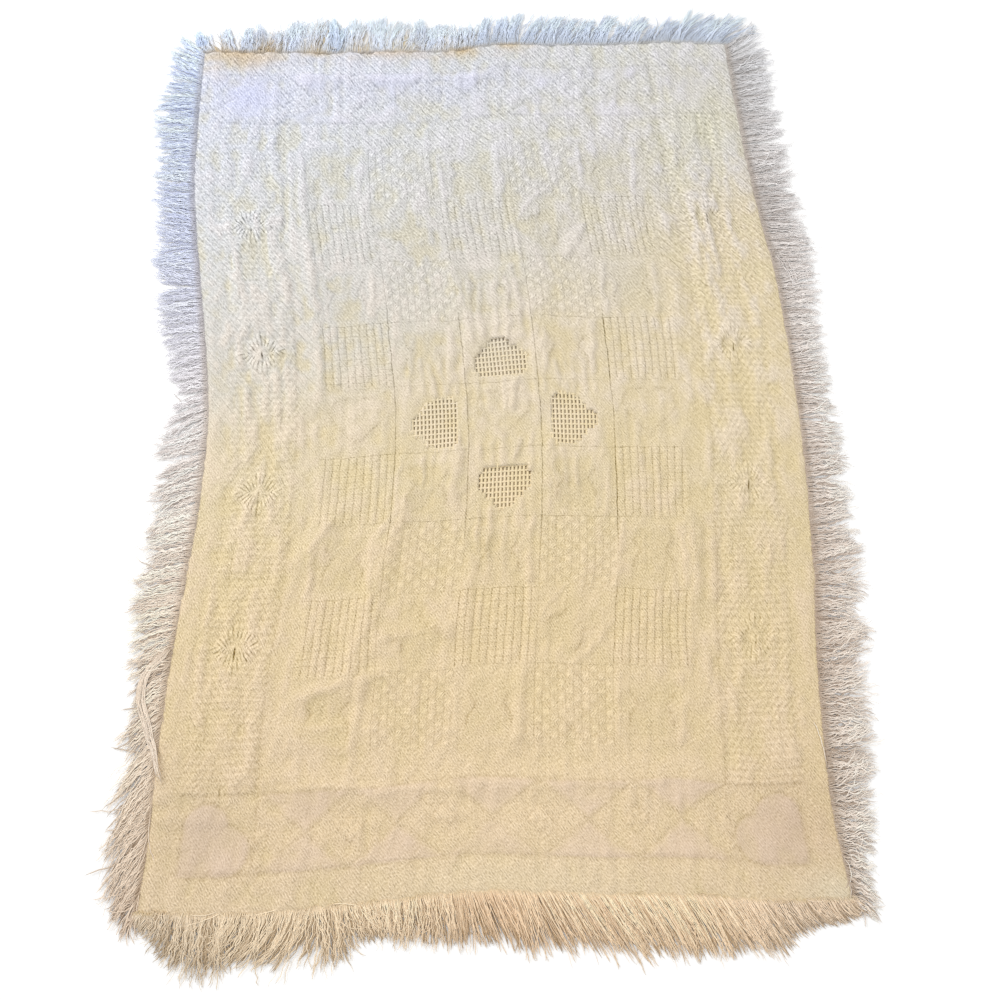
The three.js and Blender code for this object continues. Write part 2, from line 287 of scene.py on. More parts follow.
# The ground of a plain block bulges into a ridge on both sides of its figure: off the middle, width, height
SIDE_RIDGES = [(-41, 12, 1.5), (31, 16, 1.9)]
RIDGE_HALF_LONG = {"M": 36, "P": 28}
RIDGE_ENDS = 6
RIDGE_SHIFT = 3
RIDGE_TILT = 4
RIDGE_WIDTHS = 0.25
RIDGE_HEIGHTS = 0.4
FIGURE_SLANT = math.radians(40)
ridge_draw = np.random.default_rng(22)
for row, letters in enumerate(CHART):
    for column, letter in enumerate(letters):
        middle_across = FIELD_LEFT + (column + 0.5) * BLOCK_WIDE
        middle_along = FIELD_FAR - (row + 0.5) * BLOCK_LONG
        slant = -FIGURE_SLANT * np.sign(middle_across) if letter == "P" else 0.0
        cos, sin = math.cos(slant), math.sin(slant)
        for off, wide, high in SIDE_RIDGES:
            tilt, shift, low_end, high_end, swell = ridge_draw.uniform(-1, 1, 5)
            if letter in RIDGE_HALF_LONG:
                top = RIDGE_HALF_LONG[letter] + RIDGE_ENDS * high_end
                foot = -RIDGE_HALF_LONG[letter] + RIDGE_ENDS * low_end
                top_off = off + RIDGE_SHIFT * shift + RIDGE_TILT * tilt
                foot_off = off + RIDGE_SHIFT * shift - RIDGE_TILT * tilt
                CREASES.append((
                    middle_across + top_off * cos - top * sin,
                    middle_along + top_off * sin + top * cos,
                    middle_across + foot_off * cos - foot * sin,
                    middle_along + foot_off * sin + foot * cos,
                    wide * (1 + RIDGE_WIDTHS * swell),
                    high * (1 + RIDGE_HEIGHTS * swell),
                ))


def ridge_lift(across, along, ridges):
    """The height of the highest ridge at each place."""
    lift = np.zeros(np.shape(across))
    for start_across, start_along, end_across, end_along, wide, high in ridges:
        run_across = end_across - start_across
        run_along = end_along - start_along
        from_across = across - start_across
        from_along = along - start_along
        share = (from_across * run_across + from_along * run_along) / (run_across ** 2 + run_along ** 2)
        share = np.clip(share, 0, 1)
        away = np.hypot(from_across - share * run_across, from_along - share * run_along) / (wide / 2)
        lift = np.maximum(lift, high * (1 + np.cos(np.pi * np.minimum(away, 1))) / 2)
    return lift


def band(value, low, high, soft):
    """1 from low to high and 0 outside."""
    return soft_step(value, low, soft) * (1 - soft_step(value, high, soft))


def ribbed(place, pitch):
    """A rounded rib with a narrow groove at each multiple of the pitch."""
    return 1 - np.abs(2 * np.mod(place / pitch, 1) - 1) ** 3


# Borders: an outer twill band, a figured band between two frame lines, an inner twill band, then the field
FRAME_ACROSS = (266.0, 355.0)
FRAME_ALONG = (457.0, 540.0)
CORNER_HEART_ACROSS = 322.0
CORNER_HEART_FAR = 510.0
CORNER_HEART_NEAR = 517.0
CORNER_HEART_SQUARE = 50.0
END_DIAMONDS = 5
FLOWER_REACH = 13.0
LARGE_HEART_SQUARE = 40.0
STAR_PLACES = np.array([-288.0, -96.0, 96.0, 288.0])
STAR_WIDE = 64.0
STAR_LONG = 60.0
STAR_NUBS = 8
OGEE_WIDE = 33.0
OGEE_LONG = 96.0
FEATHER_PITCH = 8.0
CELL_LONG = 10.0
CELL_WIDE = 15.0
CELL_SLOPE = 0.6
CELL_LEAN = 0.25
CELL_HIGH = 0.45
SLIT_WIDE = 1.3
SLIT_LONG = 8.0
SLIT_LOW = 5.0


def square_heart(x, y, size):
    """How far inside a heart a place is: a square with half circles on two of its sides."""
    square = size / 2 - np.maximum(np.abs(x), np.abs(y))
    lobes = size / 2 - np.minimum(np.hypot(x + size / 2, y), np.hypot(x, y + size / 2))
    return np.maximum(square, lobes)


FIGURE_HALF = 25.0
FIGURE_WAIST = 9.0
FIGURE_LONG = 66.0
WAIST_UP = 6.0
WAIST_LONG = 9.0


def waisted(x, y):
    """How far inside a small figure with a narrow waist a place is."""
    half = FIGURE_HALF - FIGURE_WAIST * np.exp(-((y - WAIST_UP) / WAIST_LONG) ** 2)
    return np.minimum(half - np.abs(x), FIGURE_LONG / 2 - np.abs(y))


# Lines, rings and edges of the border figures: where each starts and ends, and how soft it is
FRAME_SOFT = 3
FRAME_LINE = (-2, 2, 3)
HEART_LINE = (-3, 0, 2)
TRIANGLE_EDGE = (0.1, 0.3)
DIAMOND_LINE = (-0.05, 0.04, 0.06)
FLOWER_EDGE = (0, 4)
FLOWER_LINE = (-2.5, 0.5, 2)
FLOWER_TROUGH = (-4, -1, 3)
BAR_EDGE = (5, 4)
BAR_TROUGH = (6, 9, 3)
STAR_RING = (0.02, 0.45, 0.2)
STAR_EYE = (0.45, 0.62, 0.15)
STAR_EDGE = (0, 0.1)
DOTS_EDGE = (7, 6)
# The corner hearts at the near and the far end: how soft their edge is, and how smooth they are
HEART_SOFT = (5, 14)
HEART_SMOOTH = (0.9, 0.45)
TRIANGLE_SMOOTH = 0.95
# How high or deep each figure is
FRAME_DEEP = 0.35
HEART_HIGH = 0.25
HEART_LINE_DEEP = 0.4
TRIANGLE_HIGH = 0.4
DIAMOND_DEEP = 0.6
FLOWER_HIGH = 0.9
FLOWER_DEEP = 0.5
BAR_HIGH = 0.9
BAR_DEEP = 0.3
STAR_HIGH = 2.0
STAR_EYE_DEEP = 0.9
# How dark the outline of each figure is
HEART_OUTLINE = 0.6
END_OUTLINE = 0.45
FRAME_OUTLINE = 0.4
# How uneven the end bands, the bars and the stars are
END_WEAR = 0.35
END_WEAR_PITCH = (34, 26)
FEATHERING = 0.3
NUBBING = 0.45


def figures(across, along):
    """The woven figures of the border bands: height, and how smooth, dotted or outlined each place is."""
    out_across, out_along = np.abs(across), np.abs(along)
    in_side = band(out_across, *FRAME_ACROSS, FRAME_SOFT)
    in_side = in_side * (1 - soft_step(out_along, FRAME_ALONG[0], FRAME_SOFT))
    in_end = band(out_along, *FRAME_ALONG, FRAME_SOFT)
    in_end = in_end * (1 - soft_step(out_across, FRAME_ACROSS[0], FRAME_SOFT))
    long_line = (out_along < FRAME_ALONG[1]) * band(np.abs(out_across - FRAME_ACROSS[0]), *FRAME_LINE)
    end_lines = [band(np.abs(out_along - place), *FRAME_LINE) for place in FRAME_ALONG]
    frame_line = np.maximum(long_line, (out_across < FRAME_ACROSS[1]) * np.maximum(*end_lines))
    raised = -FRAME_DEEP * frame_line
    # Corner hearts, smooth in the twill, with their points towards the corners
    near = along < 0
    past_heart = np.where(near, -along - CORNER_HEART_NEAR, along - CORNER_HEART_FAR)
    depth = square_heart(out_across - CORNER_HEART_ACROSS, past_heart, CORNER_HEART_SQUARE)
    smooth = soft_step(depth, 0, np.where(near, *HEART_SOFT)) * np.where(near, *HEART_SMOOTH)
    outline = HEART_OUTLINE * near * band(depth, *HEART_LINE)
    raised = raised + near * (HEART_HIGH * smooth - HEART_LINE_DEEP * outline)
    # End bands: a row of diamonds between smooth triangles, with a small flower in each diamond
    pitch = 2 * FRAME_ACROSS[0] / END_DIAMONDS
    y = out_along - sum(FRAME_ALONG) / 2
    x = np.mod(across + pitch / 2 + pitch * END_DIAMONDS / 2, pitch) - pitch / 2
    diamond = 1 - np.abs(x) / (pitch / 2) - np.abs(y) / ((FRAME_ALONG[1] - FRAME_ALONG[0]) / 2)
    worn = 1 - END_WEAR + END_WEAR * rumple(across, along, *END_WEAR_PITCH, seed=2)
    triangle = in_end * soft_step(-diamond, *TRIANGLE_EDGE) * worn
    smooth = np.maximum(smooth, TRIANGLE_SMOOTH * triangle)
    edge = in_end * band(diamond, *DIAMOND_LINE) * worn
    petal = FLOWER_REACH * np.sqrt(np.abs(np.cos(2 * np.arctan2(y, x)))) - np.hypot(x, y)
    flower = in_end * soft_step(petal, *FLOWER_EDGE)
    outline = np.maximum(outline, END_OUTLINE * edge)
    outline = np.maximum(outline, END_OUTLINE * in_end * band(petal, *FLOWER_LINE))
    raised = raised + TRIANGLE_HIGH * triangle - DIAMOND_DEEP * edge
    raised = raised + FLOWER_HIGH * flower - FLOWER_DEEP * in_end * band(petal, *FLOWER_TROUGH)
    # Side bands: feathered bars swing out between four raised stars on a ground of slanting cells
    x = out_across - sum(FRAME_ACROSS) / 2
    y = along - STAR_PLACES[np.abs(along[..., None] - STAR_PLACES).argmin(-1)]
    off_x, off_y = np.abs(x), np.abs(y)
    off_bar = np.abs(off_x - OGEE_WIDE * np.sin(np.pi / 2 * np.minimum(off_y / OGEE_LONG, 1)))
    feather = 1 - FEATHERING + FEATHERING * np.cos(2 * np.pi * (along + off_x) / FEATHER_PITCH)
    bars = BAR_HIGH * feather * (1 - soft_step(off_bar, *BAR_EDGE)) - BAR_DEEP * band(off_bar, *BAR_TROUGH)
    cells = np.sin(2 * np.pi * (off_y + CELL_SLOPE * off_x) / CELL_LONG)
    cells = cells * np.sin(2 * np.pi * (off_x - CELL_LEAN * off_y) / CELL_WIDE)
    star = 1 - off_x / (STAR_WIDE / 2) - off_y / (STAR_LONG / 2)
    nubs = 1 - NUBBING + NUBBING * np.cos(STAR_NUBS * np.arctan2(y, x))
    stars = STAR_HIGH * nubs * band(star, *STAR_RING) - STAR_EYE_DEEP * band(star, *STAR_EYE)
    raised = raised + in_side * (bars + CELL_HIGH * cells + stars)
    dotted = in_side * soft_step(off_bar, *DOTS_EDGE) * (1 - soft_step(star, *STAR_EDGE))
    return raised, smooth, dotted, in_side, np.maximum(outline, FRAME_OUTLINE * frame_line)


def blocks(across, along):
    """The letter of the draft at each place, and the place inside its block."""
    chart = np.array([list(row) for row in CHART])
    column = np.clip((across - FIELD_LEFT) // BLOCK_WIDE, 0, chart.shape[1] - 1).astype(int)
    row = np.clip((FIELD_FAR - along) // BLOCK_LONG, 0, chart.shape[0] - 1).astype(int)
    inside = (across > FIELD_LEFT) & (across < FIELD_RIGHT) & (along > FIELD_NEAR) & (along < FIELD_FAR)
    kind = np.where(inside, chart[row, column], "T")
    x = across - FIELD_LEFT - (column + 0.5) * BLOCK_WIDE
    y = along - FIELD_FAR + (row + 0.5) * BLOCK_LONG
    return kind, x, y


# How high or deep the weave of the blocks is
RIB_HIGH = 0.6
TICK_HIGH = 0.5
BASKET_HIGH = 0.3
PAD_HIGH = 0.45
FIGURE_DEEP = 0.3
# The figure of a plain block: how far it is off the middle, and how soft and how dark its outline is
FIGURE_LEFT = 4
FIGURE_LOW = 3
FIGURE_SOFT = 8
FIGURE_OPEN_END = 12
FIGURE_OUTLINE = 0.9
LARGE_HEART_OUTLINE = 0.6
THIN_LINE = (-1.5, 1.5, 2)
# Where twill and seams show
TWILL_NEAR = 0.25
TWILL_FADE = (100, 600)
TWILL_HIDDEN = 0.5
BASKET_IN_DOTS = 0.25
SEAM_BY_NETS = 0.5
NETS_ACROSS = (-155, 155, 40)
NETS_ALONG = (-170, 150, 60)


def weave(across, along):
    """The relief of the upper face, a mask for each kind of weave, and where the yellower figures are."""
    kind, x, y = blocks(across, along)
    ribs = (kind == "R").astype(float)
    basket = (kind == "B").astype(float)
    raised, smooth, dotted, side, outline = figures(across, along)
    from_left, from_near = x + BLOCK_WIDE / 2, y + BLOCK_LONG / 2
    rib_cells = ribbed(from_left, RIB_PITCH)
    tick_cells = ribbed(from_near, TICK_PITCH)
    checker = np.mod(np.floor(from_left / RIB_PITCH) + np.floor(from_near / TICK_PITCH), 2)
    raised = raised + ribs * rib_cells * (RIB_HIGH + TICK_HIGH * tick_cells)
    raised = raised + basket * rib_cells * tick_cells * (BASKET_HIGH + PAD_HIGH * checker)
    # The plain blocks hold a small figure of rougher, yellower weave in a thin sunken outline
    slant = np.where(kind == "P", -FIGURE_SLANT * np.sign(across), 0.0)
    turned_x = x * np.cos(slant) + y * np.sin(slant) + FIGURE_LEFT
    turned_y = y * np.cos(slant) - x * np.sin(slant) + FIGURE_LOW
    depth = waisted(turned_x, turned_y)
    here = np.isin(kind, ("M", "P"))
    warm = here * soft_step(depth, 0, FIGURE_SOFT)
    by_waist = 1 - soft_step(np.abs(turned_y), FIGURE_LONG / 2 - FIGURE_OPEN_END, FIGURE_OPEN_END)
    outline = np.maximum(outline, FIGURE_OUTLINE * here * by_waist * band(depth, *THIN_LINE))
    raised = raised - FIGURE_DEEP * warm
    # The blocks between the nets have only the outline of a large heart
    depth = square_heart(-(x + y) / math.sqrt(2), (x - y) / math.sqrt(2), LARGE_HEART_SQUARE)
    outline = np.maximum(outline, LARGE_HEART_OUTLINE * (kind == "H") * band(depth, *THIN_LINE))
    to_far = TWILL_NEAR + (1 - TWILL_NEAR) * soft_step(along, *TWILL_FADE)
    twill = (kind == "T") * (1 - smooth) * (1 - TWILL_HIDDEN * dotted) * to_far
    by_nets = band(across, *NETS_ACROSS) * band(along, *NETS_ALONG)
    seam = (kind != "T") * (1 - SEAM_BY_NETS + SEAM_BY_NETS * by_nets)
    masks = {
        "ribs": ribs,
        "basket": np.maximum(basket, BASKET_IN_DOTS * dotted),
        "twill": twill,
        "smooth": smooth,
        "side": side,
        "outline": outline,
        "seam": seam,
    }
    return raised, masks, warm


LIFT_SHARE = 0.45


def sheet_lift(across, along):
    """How far the lower face is off the floor."""
    return LIFT_SHARE * ridge_lift(across, along, PUCKERS)


# Layers of wrinkles and of sideways shifts: size, step across, step along, seed
LONG_WRINKLES = [(0.8, 8, 50, 3), (0.4, 14, 40, 4)]
SHORT_WRINKLES = [(1.0, 6, 16, 19)]
END_WRINKLES = [(0.8, 60, 14, 5)]
DIMPLES = [(0.6, 24, 30, 6), (0.85, 9, 12, 7)]
CROOKED_ACROSS = [(3.5, 13, 16, 17)]
CROOKED_ALONG = [(3.5, 16, 13, 18)]
# The long and the short wrinkles are higher in the side bands than in the field
FIELD_WRINKLE = 1.0
SIDE_WRINKLE = 2.1
FIELD_SHORT = 0.5
SIDE_SHORT = 1.3
SIDE_EARLY = 15
SIDE_SOFT = 30
END_EARLY = 60
END_SOFT = 40


def rumples(across, along, layers):
    """The sum of several layers of uneven numbers."""
    return sum(size * rumple(across, along, *steps, seed) for size, *steps, seed in layers)


def crinkle(across, along):
    """The height of the fine creases, dimples and wrinkles."""
    side = band(np.abs(across), FRAME_ACROSS[0] - SIDE_EARLY, FRAME_ACROSS[1], SIDE_SOFT)
    side = side * (np.abs(along) < FRAME_ALONG[0])
    long_size = FIELD_WRINKLE + (SIDE_WRINKLE - FIELD_WRINKLE) * side
    short_size = FIELD_SHORT + (SIDE_SHORT - FIELD_SHORT) * side
    end = band(np.abs(along), FRAME_ALONG[0] - END_EARLY, FRAME_ALONG[1], END_SOFT)
    wrinkles = long_size * rumples(across, along, LONG_WRINKLES)
    wrinkles = wrinkles + short_size * rumples(across, along, SHORT_WRINKLES)
    wrinkles = wrinkles + end * rumples(across, along, END_WRINKLES)
    crooked_across = across + rumples(across, along, CROOKED_ACROSS)
    crooked_along = along + rumples(across, along, CROOKED_ALONG)
    creases = ridge_lift(crooked_across, crooked_along, CREASES)
    return creases + wrinkles + rumples(across, along, DIMPLES)


def linear(levels):
    """Screen levels from 0 to 255 as light."""
    share = np.asarray(levels, float) / 255
    return np.where(share <= 0.04045, share / 12.92, ((share + 0.055) / 1.055) ** 2.4)


# The colour goes from bluish white at the far end to cream at the near one, partly the yarn's yellowing and
# partly painted light: cool window light from the far left and warm light at the near end. Along, then red,
# green and blue
TONES = np.array([
    (-640, 228, 207, 174),
    (-520, 231, 207, 170),
    (-250, 231, 210, 171),
    (-80, 229, 212, 176),
    (60, 226, 212, 184),
    (180, 218, 212, 199),
    (300, 215, 212, 206),
    (430, 215, 215, 213),
    (560, 212, 215, 221),
    (720, 211, 216, 231),
], float)
TONE_TILT = 0.6
TILT_EDGE = (0, 400)
TONE_DRIFT = [(25.0, 80, 90, 8)]
# Stains and paler places: across, along, reach across, reach along, red, green, blue, strength
STAINS = [
    (-332, 580, 64, 30, 203, 180, 146, 0.85),
    (-215, 588, 28, 16, 203, 182, 148, 0.75),
    (-110, 584, 60, 16, 205, 184, 158, 0.7),
    (-6, 582, 26, 18, 204, 176, 130, 0.7),
    (65, 584, 26, 16, 206, 180, 136, 0.7),
    (-317, 500, 50, 36, 206, 211, 240, 0.7),
    (-60, 515, 240, 30, 214, 217, 236, 0.5),
    (329, 438, 70, 60, 216, 213, 190, 0.6),
    (346, -497, 60, 60, 212, 187, 155, 0.5),
    (-343, -480, 70, 70, 215, 194, 160, 0.5),
    (376, -577, 44, 28, 228, 215, 188, 0.7),
    (20, -566, 150, 28, 236, 217, 184, 0.7),
    (40, -340, 230, 230, 238, 215, 171, 0.45),
    (60, -490, 190, 70, 240, 216, 180, 0.45),
    (160, 205, 80, 70, 218, 211, 198, 0.5),
]
NEAR_SMOOTH_TINT = np.array([0.94, 0.93, 1.04])
FAR_SMOOTH_TINT = np.array([0.99, 0.985, 1.04])
# Painted highlight and shade: the crests of the puckers are painted paler than the yarn's own tone, and the
# troughs yellower. The yarn's own mottle and its yellower figures use the same tones
HIGHLIGHT_AND_PALE_TONES = np.array([
    (-640, 237, 213, 182),
    (-180, 237, 215, 187),
    (0, 239, 223, 203),
    (200, 233, 223, 214),
    (400, 227, 225, 233),
], float)
SHADE_AND_YELLOW_TONES = np.array([
    (-640, 226, 205, 156),
    (50, 226, 207, 157),
    (400, 214, 209, 182),
], float)
PALE_SHARE = 0.55
DEEP_SHARE = 0.42
CREST_HIGH = 2.0
CREST_LIMITS = (-0.8, 1)
FIGURE_YELLOW = 0.6
MOTTLE = [(0.6, 22, 34, 15), (0.5, 10, 15, 16)]
STAIN_FADE = 1.2
STAIN_RAGGED = [(0.5, 14, 9, 9)]
FULL_HEIGHT = 0.5
DEEPEST = 1.5
HOLLOW_SHADE = 0.07
LIGHT_ON_FLOOR = 1.125


def tone_at(table, at):
    """The colours of a table of tones at places."""
    place, *levels = table.T
    return np.stack([np.interp(at, place, level) for level in levels], -1)


def tones(across, along, smooth, raised, crest, warmth):
    """The colour at each place: the yarn's own tone and stains, with painted highlight on the crests and
    painted shade in the troughs and hollows.
    """
    tilt = TONE_TILT * soft_step(along, *TILT_EDGE)
    colour = tone_at(TONES, along - tilt * across + rumples(across, along, TONE_DRIFT))
    # Painted highlight on the crests and painted shade in the troughs of the crinkles, added to the yarn's
    # random mottle and its yellower figures
    paleness = rumples(across, along, MOTTLE) + np.clip(crest / CREST_HIGH, *CREST_LIMITS)
    paleness = paleness - FIGURE_YELLOW * warmth
    for table, share, part in ((HIGHLIGHT_AND_PALE_TONES, PALE_SHARE, paleness), (SHADE_AND_YELLOW_TONES, DEEP_SHARE, -paleness)):
        mixed = share * np.clip(part, 0, 1)[..., None]
        colour = colour * (1 - mixed) + tone_at(table, along) * mixed
    ragged = 1 + rumples(across, along, STAIN_RAGGED)
    for middle_across, middle_along, reach_across, reach_along, *stain, strength in STAINS:
        away = ((across - middle_across) / reach_across) ** 2 + ((along - middle_along) / reach_along) ** 2
        share = (strength * np.exp(-away * ragged * STAIN_FADE))[..., None]
        colour = colour * (1 - share) + np.array(stain) * share
    colour = linear(colour) / LIGHT_ON_FLOOR
    tint = np.where((along < 0)[..., None], NEAR_SMOOTH_TINT, FAR_SMOOTH_TINT)
    colour = colour * (1 - smooth[..., None] * (1 - tint))
    # Painted shade in the hollows of the weave
    hollow = np.clip(FULL_HEIGHT - raised, 0, DEEPEST)[..., None]
    return colour * (1 - HOLLOW_SHADE * hollow)


def make_mesh(name, points, faces):
    """A mesh from points and a list of face arrays, each of one number of corners."""
    mesh = bpy.data.meshes.new(name)
    corners = np.concatenate([f.ravel() for f in faces]).astype(np.int32)
    sizes = np.concatenate([np.full(len(f), f.shape[1]) for f in faces])
    starts = np.concatenate([[0], np.cumsum(sizes)[:-1]]).astype(np.int32)
    mesh.vertices.add(len(points))
    mesh.vertices.foreach_set("co", np.asarray(points, np.float32).ravel())
    mesh.loops.add(len(corners))
    mesh.loops.foreach_set("vertex_index", corners)
    mesh.polygons.add(len(sizes))
    mesh.polygons.foreach_set("loop_start", starts)
    mesh.update(calc_edges=True)
    mesh.validate()
    mesh.shade_smooth()
    return mesh


def paint(mesh, name, values):
    """Stores a number or a colour for each point of a mesh."""
    if values.ndim == 1:
        mesh.attributes.new(name, "FLOAT", "POINT").data.foreach_set("value", values.astype(np.float32))
    else:
        opaque = np.column_stack([values, np.ones(len(values))]).astype(np.float32)
        mesh.attributes.new(name, "FLOAT_COLOR", "POINT").data.foreach_set("color", opaque.ravel())


def grid_lines(half, field_low, field_high, per_border, per_field):
    """Grid lines from edge to edge, finer in the field."""
    return np.concatenate([
        np.linspace(-half, field_low, per_border, endpoint=False),
        np.linspace(field_low, field_high, per_field, endpoint=False),
        np.linspace(field_high, half, per_border + 1),
    ])


BORDER_COLUMNS = 46
BORDER_ROWS = 54
FIELD_COLUMNS = 4 * RIBS_IN_BLOCK * len(CHART[0])
FIELD_ROWS = 2 * TICKS_IN_BLOCK * len(CHART)
COLUMNS = grid_lines(WIDTH / 2, FIELD_LEFT, FIELD_RIGHT, BORDER_COLUMNS, FIELD_COLUMNS)
ROWS = grid_lines(LENGTH / 2, FIELD_NEAR, FIELD_FAR, BORDER_ROWS, FIELD_ROWS)
grid_across, grid_along = (g.ravel() for g in np.meshgrid(COLUMNS, ROWS, indexing="ij"))
ids = np.arange(len(COLUMNS) * len(ROWS)).reshape(len(COLUMNS), len(ROWS))
cell_columns = (COLUMNS[1:] + COLUMNS[:-1]) / 2
cell_rows = (ROWS[1:] + ROWS[:-1]) / 2
kept = ~in_open_net(*np.meshgrid(cell_columns, cell_rows, indexing="ij"))
upper_cells = np.stack([ids[:-1, :-1], ids[1:, :-1], ids[1:, 1:], ids[:-1, 1:]], -1)[kept]

# The rim of the upper face, outside and round each net, goes down to a plainer lower face
ring = np.concatenate([upper_cells[:, [k, (k + 1) % 4]] for k in range(4)])
forward = ring[:, 0] * ids.size + ring[:, 1]
backward = ring[:, 1] * ids.size + ring[:, 0]
rim = ring[~np.isin(forward, backward)]
rim_points = np.unique(rim)
LOWER_STEP = 20
RIM_CLEAR = 9
low_across, low_along = (g.ravel() for g in np.meshgrid(
    np.arange(-WIDTH / 2 + LOWER_STEP, WIDTH / 2 - RIM_CLEAR, LOWER_STEP),
    np.arange(-LENGTH / 2 + LOWER_STEP, LENGTH / 2 - RIM_CLEAR, LOWER_STEP), indexing="ij"))
clear = np.ones(len(low_across), bool)
for step_across in (-RIM_CLEAR, 0, RIM_CLEAR):
    for step_along in (-RIM_CLEAR, 0, RIM_CLEAR):
        clear &= ~in_open_net(low_across + step_across, low_along + step_along)
lower_across = np.concatenate([grid_across[rim_points], low_across[clear]])
lower_along = np.concatenate([grid_along[rim_points], low_along[clear]])
rim_in_lower = np.searchsorted(rim_points, rim)
INSIDE_WITH_HOLES = 2
SAME_PLACE = 1e-4
lower_places = [Vector(p) for p in zip(lower_across, lower_along)]
cut = delaunay_2d_cdt(lower_places, rim_in_lower.tolist(), [], INSIDE_WITH_HOLES, SAME_PLACE)
source = np.array([from_points[0] for from_points in cut[3]])
lower_faces = source[np.array(cut[2])][:, ::-1]

used, upper_cells = np.unique(upper_cells, return_inverse=True)
upper_cells = upper_cells.reshape(-1, 4)
first_lower = len(used)
place_of = np.full(ids.size, -1)
place_of[used] = np.arange(first_lower)
rim_walls = np.column_stack([place_of[rim[:, 1]], place_of[rim[:, 0]], rim_in_lower[:, 0] + first_lower,
                             rim_in_lower[:, 1] + first_lower])
across = np.concatenate([grid_across[used], lower_across])
along = np.concatenate([grid_along[used], lower_along])
raised, masks, warmth = weave(across, along)
upper = np.arange(len(across)) < first_lower
to_edge = np.minimum(WIDTH / 2 - np.abs(across), LENGTH / 2 - np.abs(along))
RIM_ROUND = 9.0
RIM_DROP = 1.0
RELIEF = 0.8
LOWEST_TROUGH = -1.4
inner = soft_step(to_edge, RIM_ROUND / 2, RIM_ROUND)
crest = crinkle(across, along)
relief = RELIEF * raised + np.maximum(crest, LOWEST_TROUGH)
up = sheet_lift(across, along) + upper * (THICK + inner * relief - RIM_DROP * (1 - inner))
EDGE_WOBBLE = 1.5
WOBBLE_REACH = 16.0
WOBBLE_PITCH = 8.0
x, y = laid(across, along)
by_rim = EDGE_WOBBLE * (1 - soft_step(to_edge, WOBBLE_REACH / 2, WOBBLE_REACH))
x = x + by_rim * rumple(0 * across, along, 1, WOBBLE_PITCH, seed=13)
y = y + by_rim * rumple(across, 0 * along, WOBBLE_PITCH, 1, seed=14)
low_corner, high_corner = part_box("cloth")
shift_x = (low_corner.x + high_corner.x) / 2 - MM * (x.min() + x.max()) / 2
shift_y = (low_corner.y + high_corner.y) / 2 - MM * (y.min() + y.max()) / 2
cloth_points = np.column_stack([x * MM + shift_x, y * MM + shift_y, np.maximum(up, 0) * MM])
cloth_mesh = make_mesh("woven_cloth", cloth_points, [upper_cells, rim_walls, lower_faces + first_lower])
tone_here = tones(across, along, masks["smooth"], raised, crest, warmth)
STEP_OF_LEVEL = 0.0085
paint(cloth_mesh, "tone", tone_here)
paint(cloth_mesh, "level", STEP_OF_LEVEL * np.sqrt(tone_here))
for mask, strength in masks.items():
    paint(cloth_mesh, mask, strength)
flat_map = cloth_mesh.uv_layers.new(name="flat")
corner_points = np.empty(len(cloth_mesh.loops), np.int32)
cloth_mesh.loops.foreach_get("vertex_index", corner_points)
flat_places = np.column_stack([across, along])[corner_points] * MM
flat_map.uv.foreach_set("vector", flat_places.astype(np.float32).ravel())


class Amount:
    """A number or colour that changes over a material. Sums of it are written as usual and become nodes."""

    def __init__(self, nodes, socket):
        self.nodes = nodes
        self.socket = socket

    def __add__(self, other):
        return self.nodes.math("ADD", self, other)

    def __sub__(self, other):
        return self.nodes.math("SUBTRACT", self, other)

    def __mul__(self, other):
        return self.nodes.math("MULTIPLY", self, other)

    def __truediv__(self, other):
        return self.nodes.math("DIVIDE", self, other)

    def __mod__(self, other):
        return self.nodes.math("FLOORED_MODULO", self, other)

    def __abs__(self):
        return self.nodes.math("ABSOLUTE", self)


class Nodes:
    """A short way to write a material's nodes."""

    def __init__(self, name):
        self.material = bpy.data.materials.new(name)
        self.material.use_nodes = True
        self.tree = self.material.node_tree
        self.shader = self.tree.nodes["Principled BSDF"]

    def set(self, socket, value):
        """Links an amount to a socket, or sets a plain value."""
        if isinstance(value, Amount):
            self.tree.links.new(value.socket, socket)
        else:
            socket.default_value = value

    def coat(self, **inputs):
        """Sets the inputs of the shader."""
        for key, value in inputs.items():
            self.set(self.shader.inputs[key.replace("_", " ")], value)

    def add(self, kind, out=0, settings=None, **inputs):
        """A node of a kind, as the amount that it gives out."""
        node = self.tree.nodes.new(kind)
        for key, value in (settings or {}).items():
            setattr(node, key, value)
        for key, value in inputs.items():
            self.set(node.inputs[key.replace("_", " ")], value)
        return Amount(self, node.outputs[out])

    def math(self, operation, *values, kind="ShaderNodeMath"):
        """The result of one operation on numbers."""
        node = self.tree.nodes.new(kind)
        node.operation = operation
        for socket, value in zip(node.inputs, values):
            self.set(socket, value)
        return Amount(self, node.outputs[0])

    def vector(self, operation, *values):
        """The result of one operation on places or colours."""
        return self.math(operation, *values, kind="ShaderNodeVectorMath")

    def attribute(self, name, out="Fac"):
        """What is painted on the mesh under a name."""
        return self.add("ShaderNodeAttribute", out, {"attribute_name": name})

    def noise(self, place, scale, detail, out="Fac", dimensions="2D", **more):
        """Uneven spots of one scale."""
        settings = {"noise_dimensions": dimensions}
        return self.add("ShaderNodeTexNoise", out, settings, Vector=place, Scale=scale, Detail=detail, **more)

    def ramp(self, value, start, end, low=0.0, high=1.0):
        """Low up to the start, high from the end on, and even between them."""
        limits = {"From_Min": start, "From_Max": end, "To_Min": low, "To_Max": high}
        return self.add("ShaderNodeMapRange", Value=value, **limits)

    def groove(self, place, pitch, width, start=0.0):
        """1 in a narrow groove at each multiple of the pitch, 0 between."""
        off = abs(self.math("FRACT", (place - start) / pitch) * 2.0 - 1.0)
        step = {"interpolation_type": "SMOOTHSTEP"}
        return self.add("ShaderNodeMapRange", 0, step, Value=off, From_Min=1 - width, From_Max=1.0)

    def wave(self, place, pitch):
        """A smooth wave from -1 to 1."""
        return self.math("SINE", place * (2 * math.pi / pitch))


